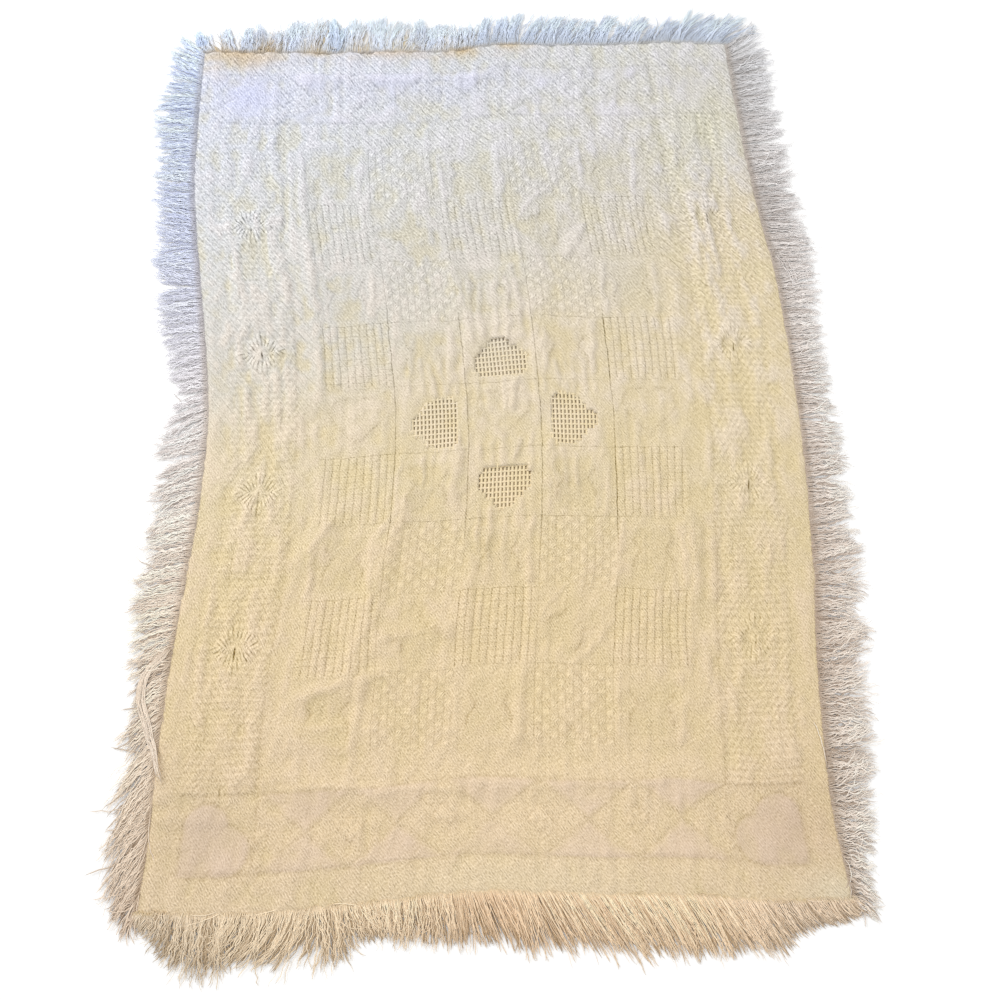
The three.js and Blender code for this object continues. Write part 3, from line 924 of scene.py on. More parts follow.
# Pitches of threads and lines, and scales of the uneven spots
TWILL_PITCH = 9.5 * MM
TWILL_SECOND = 6.4 * MM
THREAD_PITCH = 2.8 * MM
FAR_THREAD_PITCH = 3.9 * MM
THREAD_SLOPE = math.radians(36)
DOT_PITCH = 2.7 * MM
STROKE_SCALE = 740.0
FAR_STROKE_SCALE = 540.0
STROKE_STRETCH = 0.5
CREPE_SCALE = 150.0
CREPE_ROUGH = 0.8
CREPE_PATCHES = (0.35, 0.65)
PATCH_SCALE = 60.0
WAVER = 1.2 * MM
WEAR_SCALE = 130.0
WORN_SPOTS = (0.35, 0.6)
WORN_LINES = 0.25
WORN_RIBS = 0.65
# Widths of the grooves as shares of their pitch
RIB_GROOVE = 0.28
TICK_GROOVE = 0.26
SEAM_GROOVE = 0.022
RAY_GROOVE = 0.6
# Where along the cloth, in metres, the strokes get crisper and looser, and how much
CRISPER_ALONG = (-0.3, 0.5)
FAR_CRISPNESS = 1.25
LOOSER_ALONG = (-0.15, 0.3)
DOTTING = 0.3
SMOOTHING = 0.3
SEAM_IS_BY_NETS = (0.6, 0.95)
# The stars of the side bands, fainter on the right, and the boxes between them
STAR_PITCH = 192.0
STAR_OUTSIDE = (1.15, 0.95)
STAR_INSIDE = (0.35, 0.5)
RAY_STEP = math.radians(10.5)
RAY_FOOT = 12.0
FAINTER_ACROSS = (-0.1, 0.1)
RIGHT_STARS = 0.6
SLIT_CORE = 0.3
BOX_HALF = 23.0
BOX_LONG = 18.0
BOX_LINE = 1.2
BOX_LINE_CORE = 0.4
# How much lighter or darker each part of the weave is than the yarn's own tone, in screen levels. The same
# levels raise the bump, and in the colour they are painted shade in grooves, sunken lines and slits and
# painted highlight on pads, petals and raised threads, besides the yarn's own unevenness
THREAD_LEVELS = 13.0
NUB_LEVELS = 50.0
CREPE_LEVELS = 8.0
RIB_LEVELS = 33.0
TICK_LEVELS = 13.0
PAD_LEVELS = 6.0
TWILL_LEVELS = 5.5
SEAM_LEVELS = 22.0
LONG_SEAM_LEVELS = 17.0
OUTLINE_LEVELS = 26.0
STAR_LEVELS = 38.0
PETAL_LEVELS = 12.0
CELL_LEVELS = 8.0
BOX_LEVELS = 13.0
SLIT_LEVELS = 75.0
COLUMN_LEVELS = 9.0
BUMP_LEVELS = 40.0
BUMP_DEEP = 0.5 * MM

cotton = Nodes("figured_cotton")
flat_place = cotton.add("ShaderNodeUVMap", settings={"uv_map": "flat"})
waver = cotton.noise(flat_place, PATCH_SCALE, 1.0, "Color")
waver = cotton.vector("SUBTRACT", waver, (0.5, 0.5, 0.5))
bent = cotton.vector("MULTIPLY_ADD", waver, (2 * WAVER, 2 * WAVER, 0), flat_place)
u = cotton.add("ShaderNodeSeparateXYZ", "X", Vector=bent)
v = cotton.add("ShaderNodeSeparateXYZ", "Y", Vector=bent)
wear = cotton.noise(flat_place, WEAR_SCALE, 2.0)
broken = cotton.ramp(wear, *WORN_SPOTS, low=WORN_LINES)
rubbed = cotton.ramp(wear, *WORN_SPOTS, low=WORN_RIBS)
crisp = cotton.ramp(v, *CRISPER_ALONG, 1.0, FAR_CRISPNESS)

# Ribs have dotted grooves between them and faint ticks across
from_left = u - FIELD_LEFT * MM
from_far = v - FIELD_FAR * MM
rib_groove = cotton.groove(from_left, RIB_PITCH * MM, RIB_GROOVE)
tick_groove = cotton.groove(from_far, TICK_PITCH * MM, TICK_GROOVE)
dots = cotton.wave(v, DOT_PITCH) * DOTTING + (1 - DOTTING)
rib_dark = cotton.math("MINIMUM", rib_groove * dots * -RIB_LEVELS, tick_groove * -TICK_LEVELS)
rib_dark = cotton.attribute("ribs") * rib_dark * rubbed
# Basket pads stand up in every other cell, and their threads slant the other way
basket = cotton.attribute("basket")
pads = cotton.wave(from_left, 2 * RIB_PITCH * MM) * cotton.wave(from_far, 2 * TICK_PITCH * MM)
pad_light = basket * (pads * PAD_LEVELS - rib_groove * COLUMN_LEVELS) * crisp
flip = cotton.math("GREATER_THAN", pads, 0.0) * cotton.math("GREATER_THAN", basket, 0.5)
flipped = v * (flip * -2.0 + 1.0)
# The threads of the ground run aslant, in short uneven strokes over a crepe of bumps, looser at the far end
over_threads = flipped * math.sin(THREAD_SLOPE) + u * math.cos(THREAD_SLOPE)
on_threads = flipped * math.cos(THREAD_SLOPE) - u * math.sin(THREAD_SLOPE)
thread_place = cotton.add("ShaderNodeCombineXYZ", X=over_threads, Y=on_threads * STROKE_STRETCH)
looser = cotton.ramp(v, *LOOSER_ALONG)
strokes = cotton.noise(thread_place, STROKE_SCALE, 0.0)
strokes = strokes + looser * (cotton.noise(thread_place, FAR_STROKE_SCALE, 0.0) - strokes)
threads = cotton.wave(over_threads, THREAD_PITCH)
threads = threads + looser * (cotton.wave(over_threads, FAR_THREAD_PITCH) - threads)
crepe = cotton.noise(flat_place, CREPE_SCALE, 1.0, Roughness=CREPE_ROUGH)
grain = threads * cotton.ramp(crepe, *CREPE_PATCHES) * THREAD_LEVELS
grain = grain + (strokes - 0.5) * NUB_LEVELS + (crepe - 0.5) * CREPE_LEVELS
grain = grain * crisp * (cotton.attribute("smooth") * -SMOOTHING + 1.0)
# Twill lines run down to the right across the borders
slant = (u + v) * math.sqrt(0.5)
twill = cotton.wave(slant, TWILL_PITCH) + cotton.wave(slant, TWILL_SECOND)
twill = twill * TWILL_LEVELS * cotton.attribute("twill")
# Sunken lines between the blocks, strongest beside the nets
seam = cotton.attribute("seam")
line_u = cotton.groove(from_left, BLOCK_WIDE * MM, SEAM_GROOVE)
line_v = cotton.groove(from_far, BLOCK_LONG * MM, SEAM_GROOVE)
seam_dark = seam * cotton.math("MAXIMUM", line_u, line_v) * SEAM_LEVELS
long_seam = cotton.ramp(seam, *SEAM_IS_BY_NETS) * line_u * -LONG_SEAM_LEVELS
# The stars of the side bands are diamonds of short fanned stitches round a slit. A box of thin lines stands
# between each two of them, on a ground of slanting cells.
star_x = abs(u) - sum(FRAME_ACROSS) / 2 * MM
star_y = v % (STAR_PITCH * MM) - STAR_PITCH / 2 * MM
off_x = abs(star_x)
off_y = abs(star_y)
ring = off_x * (2 / (STAR_WIDE * MM)) + off_y * (2 / (STAR_LONG * MM))
fan = cotton.math("ARCTAN2", off_y + RAY_FOOT * MM, star_x)
rays = cotton.groove(fan, RAY_STEP, RAY_GROOVE, math.pi / 2)
star_light = rays * -(STAR_LEVELS + PETAL_LEVELS) + PETAL_LEVELS
star_light = star_light * cotton.ramp(ring, *STAR_OUTSIDE) * cotton.ramp(ring, *STAR_INSIDE)
star_light = star_light * broken * cotton.ramp(u, *FAINTER_ACROSS, 1.0, RIGHT_STARS)
cells = cotton.wave(off_x * CELL_SLOPE + off_y, CELL_LONG * MM)
cells = cells * cotton.wave(off_x - off_y * CELL_LEAN, CELL_WIDE * MM)
side_light = cotton.attribute("side") * (star_light + cells * CELL_LEVELS)
slit = cotton.ramp(off_x, SLIT_WIDE * MM, SLIT_CORE * MM)
slit = slit * cotton.ramp(abs(star_y + SLIT_LOW * MM), SLIT_LONG * MM, SLIT_LONG / 2 * MM)
box = cotton.ramp(abs(off_x - BOX_HALF * MM), BOX_LINE * MM, BOX_LINE_CORE * MM)
box = box * cotton.math("GREATER_THAN", off_y, (STAR_PITCH / 2 - BOX_LONG) * MM)
side_dark = cotton.attribute("side") * (box * BOX_LEVELS + slit * SLIT_LEVELS)
# All sunken lines, also those round the figures, are worn in places
lines = (seam_dark + side_dark + cotton.attribute("outline") * OUTLINE_LEVELS) * broken
levels = rib_dark + long_seam + grain + pad_light + twill + side_light - lines
bump = cotton.add("ShaderNodeBump", Strength=1.0, Distance=BUMP_DEEP, Height=levels / BUMP_LEVELS)
# The levels go into the colour as painted shade and painted highlight of the relief, together with the yarn's
# own uneven strokes
tone = cotton.attribute("tone", "Color")
uneven = cotton.vector("MULTIPLY_ADD", cotton.attribute("level", "Color"), levels, tone)
cotton.coat(Base_Color=uneven, Normal=bump, Roughness=0.92, Specular_IOR_Level=0.2)
cotton.coat(Sheen_Weight=0.1, Sheen_Roughness=0.6)

cloth = bpy.data.objects.new("woven_cloth", cloth_mesh)
bpy.context.scene.collection.objects.link(cloth)
cloth_mesh.materials.append(cotton.material)
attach(cloth, "root")
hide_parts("cloth")

# The open heart nets
# In four blocks the weaver leaves threads out, so that a heart of open net stays: stout pale warps along the
# cloth, and thin wefts across them. The threads run on into the cloth round each heart.
NET_FLATNESS = 0.5
NET_LEVEL = 0.6
NET_PALENESS = 1.09
TUCK = 4.0
THREAD_SIDES = 6
NET_STEP = 3
LEAST_STEPS = 4
BRIGHTEST = 0.96
# Warps and wefts: half width, how far they go over and under the threads they cross, and the pitch of those
WARP = (1.6, 0.25, NET_ALONG)
WEFT = (1.4, -0.45, NET_ACROSS)


def thread_rows(heart, lengthwise):
    """The runs of open cells beside each thread of a net: a place across the run, and its two ends."""
    turns = heart[2]
    pitch, run_pitch = (NET_ACROSS, NET_ALONG) if lengthwise else (NET_ALONG, NET_ACROSS)
    reach = int(NET_WIDE / min(NET_ACROSS, NET_ALONG))
    cells = (np.arange(-reach, reach) + 0.5) * run_pitch
    for k in range(-reach, reach + 1):
        beside = []
        for side in (-0.5, 0.5):
            line = np.full(len(cells), (k + side) * pitch)
            pair = (line, cells) if lengthwise else (cells, line)
            beside.append(heart_depth(*upright(*pair, turns), NET_WIDE, NET_LONG, NET_CLEFT) > 0)
        open_cells = cells[beside[0] | beside[1]]
        if len(open_cells):
            past_cells = run_pitch / 2 + TUCK
            yield k, k * pitch, open_cells.min() - past_cells, open_cells.max() + past_cells


def tube(path, radius, sides):
    """Points and faces of a closed flat tube along a path."""
    forward = np.gradient(path, axis=0)
    forward /= np.linalg.norm(forward, axis=1, keepdims=True)
    side = np.cross(forward, (0, 0, 1.0))
    side /= np.linalg.norm(side, axis=1, keepdims=True)
    rise = np.cross(side, forward) * NET_FLATNESS
    angle = np.arange(sides) * 2 * np.pi / sides
    ring = np.cos(angle)[:, None] * side[:, None, :] + np.sin(angle)[:, None] * rise[:, None, :]
    points = (path[:, None, :] + radius * ring).reshape(-1, 3)
    at = np.arange(len(path) * sides).reshape(len(path), sides)
    turned = np.roll(at, -1, axis=1)
    walls = np.stack([at[:-1], turned[:-1], turned[1:], at[1:]], -1).reshape(-1, 4)
    return points, walls, np.stack([at[0][::-1], at[-1]])


net_points, net_walls, net_ends, net_tones, net_count = [], [], [], [], 0
for heart in NET_HEARTS:
    for lengthwise in (True, False):
        half_wide, over, weave_pitch = WARP if lengthwise else WEFT
        for k, place, start, end in thread_rows(heart, lengthwise):
            steps = np.linspace(start, end, max(int((end - start) / NET_STEP), LEAST_STEPS))
            line = np.full(len(steps), place)
            thread_across = heart[0] + (line if lengthwise else steps)
            thread_along = heart[1] + (steps if lengthwise else line)
            thread_x, thread_y = laid(thread_across, thread_along)
            thread_z = sheet_lift(thread_across, thread_along) + THICK * NET_LEVEL
            thread_z = thread_z + over * np.cos(np.pi * (steps / weave_pitch + k))
            path = np.column_stack([thread_x * MM + shift_x, thread_y * MM + shift_y, thread_z * MM])
            points, walls, ends = tube(path, half_wide * MM, THREAD_SIDES)
            even = np.zeros(len(steps))
            thread_tone = tones(thread_across, thread_along, even, even + FULL_HEIGHT, even, even)
            thread_tone = np.minimum(NET_PALENESS * thread_tone, BRIGHTEST)
            net_tones.append(np.repeat(thread_tone, THREAD_SIDES, axis=0))
            net_points.append(points)
            net_walls.append(walls + net_count)
            net_ends.append(ends + net_count)
            net_count += len(points)
net_faces = [np.concatenate(net_walls), np.concatenate(net_ends)]
net_mesh = make_mesh("heart_nets", np.concatenate(net_points), net_faces)
paint(net_mesh, "tone", np.concatenate(net_tones))


def plied_cotton(name, nub_scale, nub_shade, base_shade, bump_share, bump_deep, roughness, gloss):
    """Plied cotton yarn in the tone painted on its mesh, with small nubs."""
    yarn = Nodes(name)
    nubs = yarn.noise(yarn.add("ShaderNodeTexCoord", "Object"), nub_scale, 2.0, dimensions="3D")
    shaded = yarn.vector("MULTIPLY", yarn.attribute("tone", "Color"), nubs * nub_shade + base_shade)
    bump = yarn.add("ShaderNodeBump", Strength=bump_share, Distance=bump_deep, Height=nubs)
    yarn.coat(Base_Color=shaded, Normal=bump, Roughness=roughness, Specular_IOR_Level=gloss)
    return yarn.material


net_cotton = plied_cotton("net_cotton", nub_scale=500.0, nub_shade=0.4, base_shade=0.8, bump_share=0.5,
                          bump_deep=0.4 * MM, roughness=0.92, gloss=0.2)
nets = bpy.data.objects.new("heart_nets", net_mesh)
bpy.context.scene.collection.objects.link(nets)
net_mesh.materials.append(net_cotton)
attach(nets, "root")

# The fringe
# The warp and weft yarns run on past the cloth's edge on all four sides as loose plied cotton. Washing has
# matted them into wavy bundles, with combed stubs at the edge and thin frayed hairs. The yarns on top are
# painted pale and the lower ones darker as painted shade, and the roots get painted shade too.
HALF_WIDTH = WIDTH / 2
HALF_LENGTH = LENGTH / 2
# Each side: place on the edge, reach, lean and turn towards the tip in degrees, and how unruly the yarns are
FRINGE_LEFT = np.array([
    (-584, 34, -50, -12, 1.2),
    (-510, 74, -48, -22, 1.2),
    (-445, 75, -42, -30, 1.2),
    (-345, 52, -32, -26, 1.2),
    (-270, 70, -4, -14, 1.2),
    (-180, 62, -6, -18, 1.1),
    (-70, 72, -14, -22, 1.0),
    (0, 83, -24, -20, 1.0),
    (50, 46, -12, -24, 0.9),
    (150, 66, -4, -6, 1.0),
    (280, 67, 2, 4, 1.0),
    (400, 56, -2, 6, 1.0),
    (500, 70, 4, 4, 1.0),
    (584, 52, 36, 10, 1.0),
], float)
FRINGE_RIGHT = np.array([
    (-584, 44, -40, -20, 1.3),
    (-530, 40, -12, -14, 1.6),
    (-460, 62, -4, 10, 1.8),
    (-330, 66, 0, 8, 1.6),
    (-210, 65, 2, 4, 1.3),
    (-90, 59, 0, 4, 1.1),
    (20, 53, -2, 2, 1.0),
    (150, 54, 2, 6, 1.0),
    (260, 70, 0, 6, 1.0),
    (400, 62, 4, 6, 1.0),
    (500, 70, 4, 8, 1.0),
    (584, 70, 24, 14, 1.0),
], float)
FRINGE_FAR = np.array([
    (-386, 44, -34, 0, 1.0),
    (-330, 52, -4, 10, 1.2),
    (-230, 62, 6, 12, 1.2),
    (-110, 59, 2, 6, 1.2),
    (-30, 44, 10, 10, 1.1),
    (40, 67, 4, 16, 1.0),
    (120, 60, 12, 26, 1.0),
    (220, 60, 14, 26, 0.9),
    (320, 67, 24, 26, 0.8),
    (386, 72, 44, 16, 0.8),
], float)
FRINGE_NEAR = np.array([
    (-386, 18, -24, -20, 1.2),
    (-372, 22, -16, -30, 1.8),
    (-352, 40, -10, -30, 2.4),
    (-330, 72, -4, -20, 2.4),
    (-292, 72, 2, -10, 2.4),
    (-284, 48, -20, -45, 2.0),
    (-270, 66, -8, -62, 1.8),
    (-210, 75, -4, -62, 1.6),
    (-202, 54, -10, -40, 2.0),
    (-192, 71, 4, -24, 2.2),
    (-170, 67, 2, -10, 2.2),
    (-160, 45, 8, -14, 2.2),
    (-120, 45, 6, -16, 2.0),
    (-30, 65, 17, 4, 0.8),
    (80, 78, 29, -2, 0.7),
    (200, 80, 33, -4, 0.7),
    (280, 67, 30, 4, 0.7),
    (296, 48, 28, 10, 0.8),
    (350, 36, 24, 26, 0.9),
    (386, 28, 38, 20, 1.2),
], float)
# Tones of each side: place on the edge, then red, green and blue of the yarns on top and of the lower ones.
# The darker tones of the lower ones are painted shade under the yarns on top, and the bluish tones towards
# the far end are partly painted cool window light
LEFT_TONES = np.array([
    (-584, 230, 212, 192, 154, 131, 108),
    (-420, 243, 229, 211, 171, 150, 127),
    (-250, 249, 237, 222, 192, 174, 156),
    (0, 246, 241, 239, 202, 194, 190),
    (250, 225, 230, 249, 184, 188, 206),
    (584, 229, 239, 255, 184, 195, 224),
], float)
RIGHT_TONES = np.array([
    (-584, 247, 238, 228, 183, 167, 151),
    (-300, 242, 232, 221, 184, 166, 150),
    (0, 247, 240, 234, 191, 178, 167),
    (300, 237, 233, 231, 184, 176, 171),
    (584, 236, 237, 240, 184, 181, 180),
], float)
FAR_TONES = np.array([
    (-386, 220, 233, 254, 180, 192, 214),
    (-362, 224, 234, 252, 196, 178, 146),
    (-334, 222, 233, 254, 190, 186, 180),
    (-318, 222, 233, 254, 188, 192, 200),
    (-291, 226, 234, 250, 190, 168, 128),
    (-260, 222, 233, 254, 188, 192, 200),
    (-222, 226, 234, 250, 188, 170, 134),
    (-192, 218, 232, 255, 186, 196, 212),
    (-160, 228, 235, 249, 188, 170, 134),
    (-124, 224, 235, 254, 206, 210, 216),
    (-92, 228, 236, 252, 202, 190, 162),
    (-64, 224, 235, 254, 202, 206, 214),
    (-30, 226, 234, 250, 190, 180, 160),
    (20, 222, 233, 252, 180, 186, 196),
    (386, 226, 236, 252, 182, 188, 198),
], float)
NEAR_TONES = np.array([
    (-386, 230, 215, 193, 168, 147, 118),
    (-270, 236, 219, 192, 174, 151, 119),
    (-111, 245, 226, 198, 182, 158, 126),
    (-5, 239, 214, 183, 170, 142, 108),
    (101, 248, 226, 197, 188, 162, 128),
    (207, 247, 225, 195, 188, 162, 128),
    (312, 233, 214, 190, 168, 146, 119),
    (386, 233, 214, 190, 168, 146, 119),
], float)
# Each side's manner: ways out and on along the edge, how crowded the yarns are, the share of those on top,
# how stout they are, how far they lie over the rim, how uneven, how wide and how drawn in the locks are, how
# much locks and bundles spread, how crimped they are, and how pale the tips are
SIDES = [
    SimpleNamespace(
        node="fringe_left", table=FRINGE_LEFT, tones=LEFT_TONES, out=(-1, 0), on=(0, 1),
        crowd=1.0, top=1.0, stout=1.1, over=0.0, uneven=0.07, lock_wide=1.0, lock_pull=0.08,
        spread=0.8, crimp=1.1, tip_pale=0.2),
    SimpleNamespace(
        node="fringe_right", table=FRINGE_RIGHT, tones=RIGHT_TONES, out=(1, 0), on=(0, 1),
        crowd=1.15, top=0.8, stout=1.12, over=0.0, uneven=0.05, lock_wide=1.0, lock_pull=0.04,
        spread=0.75, crimp=0.75, tip_pale=0.9),
    SimpleNamespace(
        node="fringe_far", table=FRINGE_FAR, tones=FAR_TONES, out=(0, 1), on=(1, 0),
        crowd=1.45, top=1.0, stout=1.0, over=0.7, uneven=0.2, lock_wide=1.2, lock_pull=0.7,
        spread=1.0, crimp=0.8, tip_pale=1.1),
    SimpleNamespace(
        node="fringe_near", table=FRINGE_NEAR, tones=NEAR_TONES, out=(0, -1), on=(1, 0),
        crowd=2.2, top=0.55, stout=1.05, over=1.0, uneven=0.03, lock_wide=1.0, lock_pull=0.02,
        spread=0.5, crimp=0.5, tip_pale=-0.3),
]
# Kinds of yarn, from combed stubs to frayed hairs: how many for each millimetre of edge, points, half
# thickness, shortest and longest share of the reach, pull into bundles, size of the waves, height of the
# arch, paleness, and how far the roots lie over the rim
# The lower yarns get a low paleness, so they are painted darker than those on top: painted shade
YARN_KINDS = [
    SimpleNamespace(per_mm=0.50, points=4, thick=0.55, shares=(0.13, 0.18),
                    pull=0.0, wave=0.0, arch=1.0, pale=0.7, over=0.2),
    SimpleNamespace(per_mm=0.95, points=10, thick=0.70, shares=(0.62, 0.97),
                    pull=0.2, wave=0.9, arch=0.8, pale=0.2, over=0.0),
    SimpleNamespace(per_mm=0.80, points=18, thick=0.60, shares=(0.78, 1.02),
                    pull=0.4, wave=1.2, arch=2.4, pale=0.9, over=0.0),
    SimpleNamespace(per_mm=0.25, points=12, thick=0.30, shares=(0.75, 1.12),
                    pull=0.2, wave=1.8, arch=3.2, pale=0.85, over=0.0),
]
ON_TOP = 0.5
LOCK_NARROW = 12.0
LOCK_WIDE = 28.0
BUNDLE_NARROW = 3.5
BUNDLE_WIDE = 7.5
LOOSE_SHARE = 0.18
WAVE_SHORT = 11.0
WAVE_LONG = 21.0
YARN_FLATNESS = 0.65
YARN_SIDES = 3
TAPER = 0.4
THICKNESSES = (0.8, 1.15)
# How far locks, bundles and single yarns lean and turn, in degrees, and how much more the loose yarns do so
LOCK_LEAN = 4
BUNDLE_LEAN = 5
YARN_LEAN = 2
LOOSE_LEAN = 12
LOCK_TURN = 10
BUNDLE_TURN = 12
YARN_TURN = 6
LOOSE_TURN = 25
TURN_LATE = 1.4
# How yarns differ, and where on their way they gather, swing, arch and come down to the floor
ROOT_JITTER = 0.7
BUNDLE_LENGTHS = 0.05
GATHER = (0.25, 0.5)
TIPS_OPEN = 0.4
CALM_GATHER = 4
SWING_ODDS = 0.2
SWING_START = 4
SWING_UP = 0.3
PHASE_ODDS = 0.08
LAYER_ODDS = 0.4
ROOT_SUNK = 0.9
ROOT_LAYERS = 0.6
ROOT_LEVEL = 0.5
DOWN = (0.25, 0.4)
OFF_FLOOR = 0.1
LEAST_OFF_FLOOR = 0.05
ARCH_LOW = 0.3
ARCH_EARLY = 0.8
ARCH_FULL = 0.9
ROOT_IN = 1.5
ROOT_IN_OVER = 2
ROOT_ODDS = 1
ROOT_ODDS_OVER = 3
TONE_ODDS = 0.18
TONE_ODDS_CALM = 0.25
RISE_PALE = 0.4


def groups(at, narrow, wide, draw):
    """Splits places on an edge into uneven groups: the group of each place, its middle, and the count."""
    widths = draw.uniform(narrow, wide, int((at.max() - at.min()) / narrow) + 2)
    edges = at.min() - 1 + np.concatenate([[0], np.cumsum(widths)])
    group = np.searchsorted(edges, at) - 1
    return group, (edges[group] + edges[group + 1]) / 2, len(widths)


def edge_of(side, at):
    """Places across and along the flat cloth on one of its edges."""
    return side.out[0] * HALF_WIDTH + side.on[0] * at, side.out[1] * HALF_LENGTH + side.on[1] * at


def tapered(thick, share, draw, count):
    """Half thicknesses along each of several yarns."""
    return thick * MM * (1 - TAPER * share ** 3)[None, :] * draw.uniform(*THICKNESSES, (count, 1))


def strands(side, kind, lock_seed, seed):
    """Loose yarns of one kind along one edge: paths, radii, way along each yarn, root places and paleness."""
    over = max(side.over, kind.over)
    thick = kind.thick * side.stout
    crowd = kind.per_mm * side.crowd
    draw = np.random.default_rng(seed)
    place, reach, lean, turn, unruly = side.table.T
    count = int(crowd * (side.top if kind.pale > ON_TOP else 1.0) * (place[-1] - place[0]))
    at = np.linspace(place[0], place[-1], count)
    at[1:-1] += draw.uniform(-ROOT_JITTER, ROOT_JITTER, count - 2) / crowd
    at = np.clip(at, place[0], place[-1])
    wild = np.interp(at, place, unruly)
    # Yarns gather into locks that lean together, the same for all kinds, and inside a lock into bundles
    lock_draw = np.random.default_rng(lock_seed)
    lock_widths = LOCK_NARROW * side.lock_wide, LOCK_WIDE * side.lock_wide
    lock, lock_middle, locks = groups(at, *lock_widths, lock_draw)
    lock_long, lock_lean, lock_turn = lock_draw.normal(0, 1, (3, locks))[:, lock]
    bundle, bundle_middle, bundles = groups(at, BUNDLE_NARROW, BUNDLE_WIDE, draw)
    bundle_long, bundle_lean, bundle_turn = draw.normal(0, 1, (3, bundles))[:, bundle]
    phase, beat, rise = draw.uniform(0, 1, (3, bundles))[:, bundle]
    loose = draw.uniform(0, 1, count) < LOOSE_SHARE
    odd_lean, odd_turn, odd_swing, odd_phase = draw.normal(0, 1, (4, count))
    long = np.interp(at, place, reach) * (1 + side.uneven * lock_long + BUNDLE_LENGTHS * bundle_long)
    long = long * draw.uniform(*kind.shares, count)
    leans = side.spread * (LOCK_LEAN * lock_lean + BUNDLE_LEAN * bundle_lean)
    leans = np.interp(at, place, lean) + wild * (leans + (YARN_LEAN + LOOSE_LEAN * loose) * odd_lean)
    turns = side.spread * (LOCK_TURN * lock_turn + BUNDLE_TURN * bundle_turn)
    turns = np.interp(at, place, turn) + wild * (turns + (YARN_TURN + LOOSE_TURN * loose) * odd_turn)
    share = np.linspace(0, 1, kind.points)
    angle = np.radians(leans[:, None] + turns[:, None] * share ** TURN_LATE)
    step = (long / (kind.points - 1))[:, None]
    go_out = np.concatenate([np.zeros((count, 1)), np.cumsum(np.cos(angle[:, 1:]) * step, 1)], 1)
    go_on = np.concatenate([np.zeros((count, 1)), np.cumsum(np.sin(angle[:, 1:]) * step, 1)], 1)
    gathered = soft_step(share, *GATHER) * (1 - TIPS_OPEN * share ** 2)
    drawn_in = np.minimum(wild ** CALM_GATHER, 1) * kind.pull * (bundle_middle - at) * (1 - loose)
    go_on = go_on + drawn_in[:, None] * gathered + (side.lock_pull * (lock_middle - at))[:, None] * share
    # Each bundle keeps the waves that the weave left in its yarns
    swing = side.crimp * kind.wave * wild * (1 - SWING_ODDS + SWING_ODDS * odd_swing)
    swing = swing[:, None] * np.minimum(SWING_START * share, 1)
    length_of_wave = WAVE_SHORT + (WAVE_LONG - WAVE_SHORT) * beat
    beats = (long / length_of_wave)[:, None] * share + (phase + PHASE_ODDS * odd_phase)[:, None]
    go_on = go_on + swing * np.sin(2 * np.pi * beats)
    # From the edge the yarns come down to the floor in low arches, some over the others
    layer = np.clip((1 - LAYER_ODDS) * rise + LAYER_ODDS * draw.uniform(0, 1, count), 0, 1)
    root_up = over * (THICK - ROOT_SUNK + ROOT_LAYERS * layer) + (1 - over) * THICK * ROOT_LEVEL
    down = 1 - soft_step(share, *DOWN)
    arch = kind.arch * (ARCH_LOW + (1 - ARCH_LOW) * layer)
    up = root_up[:, None] * down + (thick + OFF_FLOOR) * (1 - down)
    up = up + arch[:, None] * np.sin(np.pi * share ** ARCH_EARLY) ** ARCH_FULL
    lowest = thick * YARN_FLATNESS + LEAST_OFF_FLOOR
    up = np.maximum(up + SWING_UP * swing * np.cos(2 * np.pi * beats), lowest)
    root_x, root_y = laid(*edge_of(side, at))
    root_in = draw.uniform(0, 1, count) * (ROOT_ODDS + ROOT_ODDS_OVER * over)
    away = go_out - (ROOT_IN + ROOT_IN_OVER * over + root_in)[:, None]
    x = root_x[:, None] + side.out[0] * away + side.on[0] * go_on
    y = root_y[:, None] + side.out[1] * away + side.on[1] * go_on
    paths = np.stack([x * MM + shift_x, y * MM + shift_y, up * MM], -1)
    radii = tapered(thick, share, draw, count)
    by_yarn = (TONE_ODDS + TONE_ODDS_CALM * (1 - side.spread)) * draw.uniform(-1, 1, count)
    # Bundles that lie higher are painted paler and lower ones darker: painted light and painted shade
    by_bundle = RISE_PALE * side.spread * (rise - 0.5)
    paleness = np.clip(kind.pale + by_bundle + by_yarn + side.uneven * lock_long, 0, 1)
    return paths, radii, long[:, None] * share, at, paleness


def strand_mesh(paths, radii):
    """Points and faces of flattened three-sided yarns that end in a point."""
    count, points, _ = paths.shape
    forward = np.gradient(paths, axis=1)
    forward /= np.linalg.norm(forward, axis=2, keepdims=True)
    side = np.cross(forward, (0, 0, 1.0))
    side /= np.linalg.norm(side, axis=2, keepdims=True)
    rise = np.cross(side, forward) * YARN_FLATNESS
    angle = np.pi / 2 + np.arange(YARN_SIDES) * 2 * np.pi / YARN_SIDES
    ring = np.cos(angle)[:, None] * side[:, :-1, None, :] + np.sin(angle)[:, None] * rise[:, :-1, None, :]
    rings = paths[:, :-1, None, :] + radii[:, :-1, None, None] * ring
    at = np.arange(count * (points - 1) * YARN_SIDES).reshape(count, points - 1, YARN_SIDES)
    tip = at.size + np.arange(count)
    turned = np.roll(at, -1, axis=2)
    walls = np.stack([at[:, :-1], turned[:, :-1], turned[:, 1:], at[:, 1:]], -1).reshape(-1, 4)
    tip_of_side = np.broadcast_to(tip[:, None], (count, YARN_SIDES))
    tips = np.stack([at[:, -1], turned[:, -1], tip_of_side], -1).reshape(-1, 3)
    roots = at[:, 0, ::-1]
    return np.concatenate([rings.reshape(-1, 3), paths[:, -1]]), walls, np.concatenate([tips, roots])


FRINGE_LIGHT = 1.26
ROOT_SHADE = np.array([0.76, 0.72, 0.67])
ROOT_LONG = 7.0
ROOT_LONG_OVER = 3.0
RIM_SHADE = 0.85
RIM_PALE = 0.2
TIP_PALE_FROM = 0.6
TIP_TINT = np.array([0.95, 0.95, 0.96])


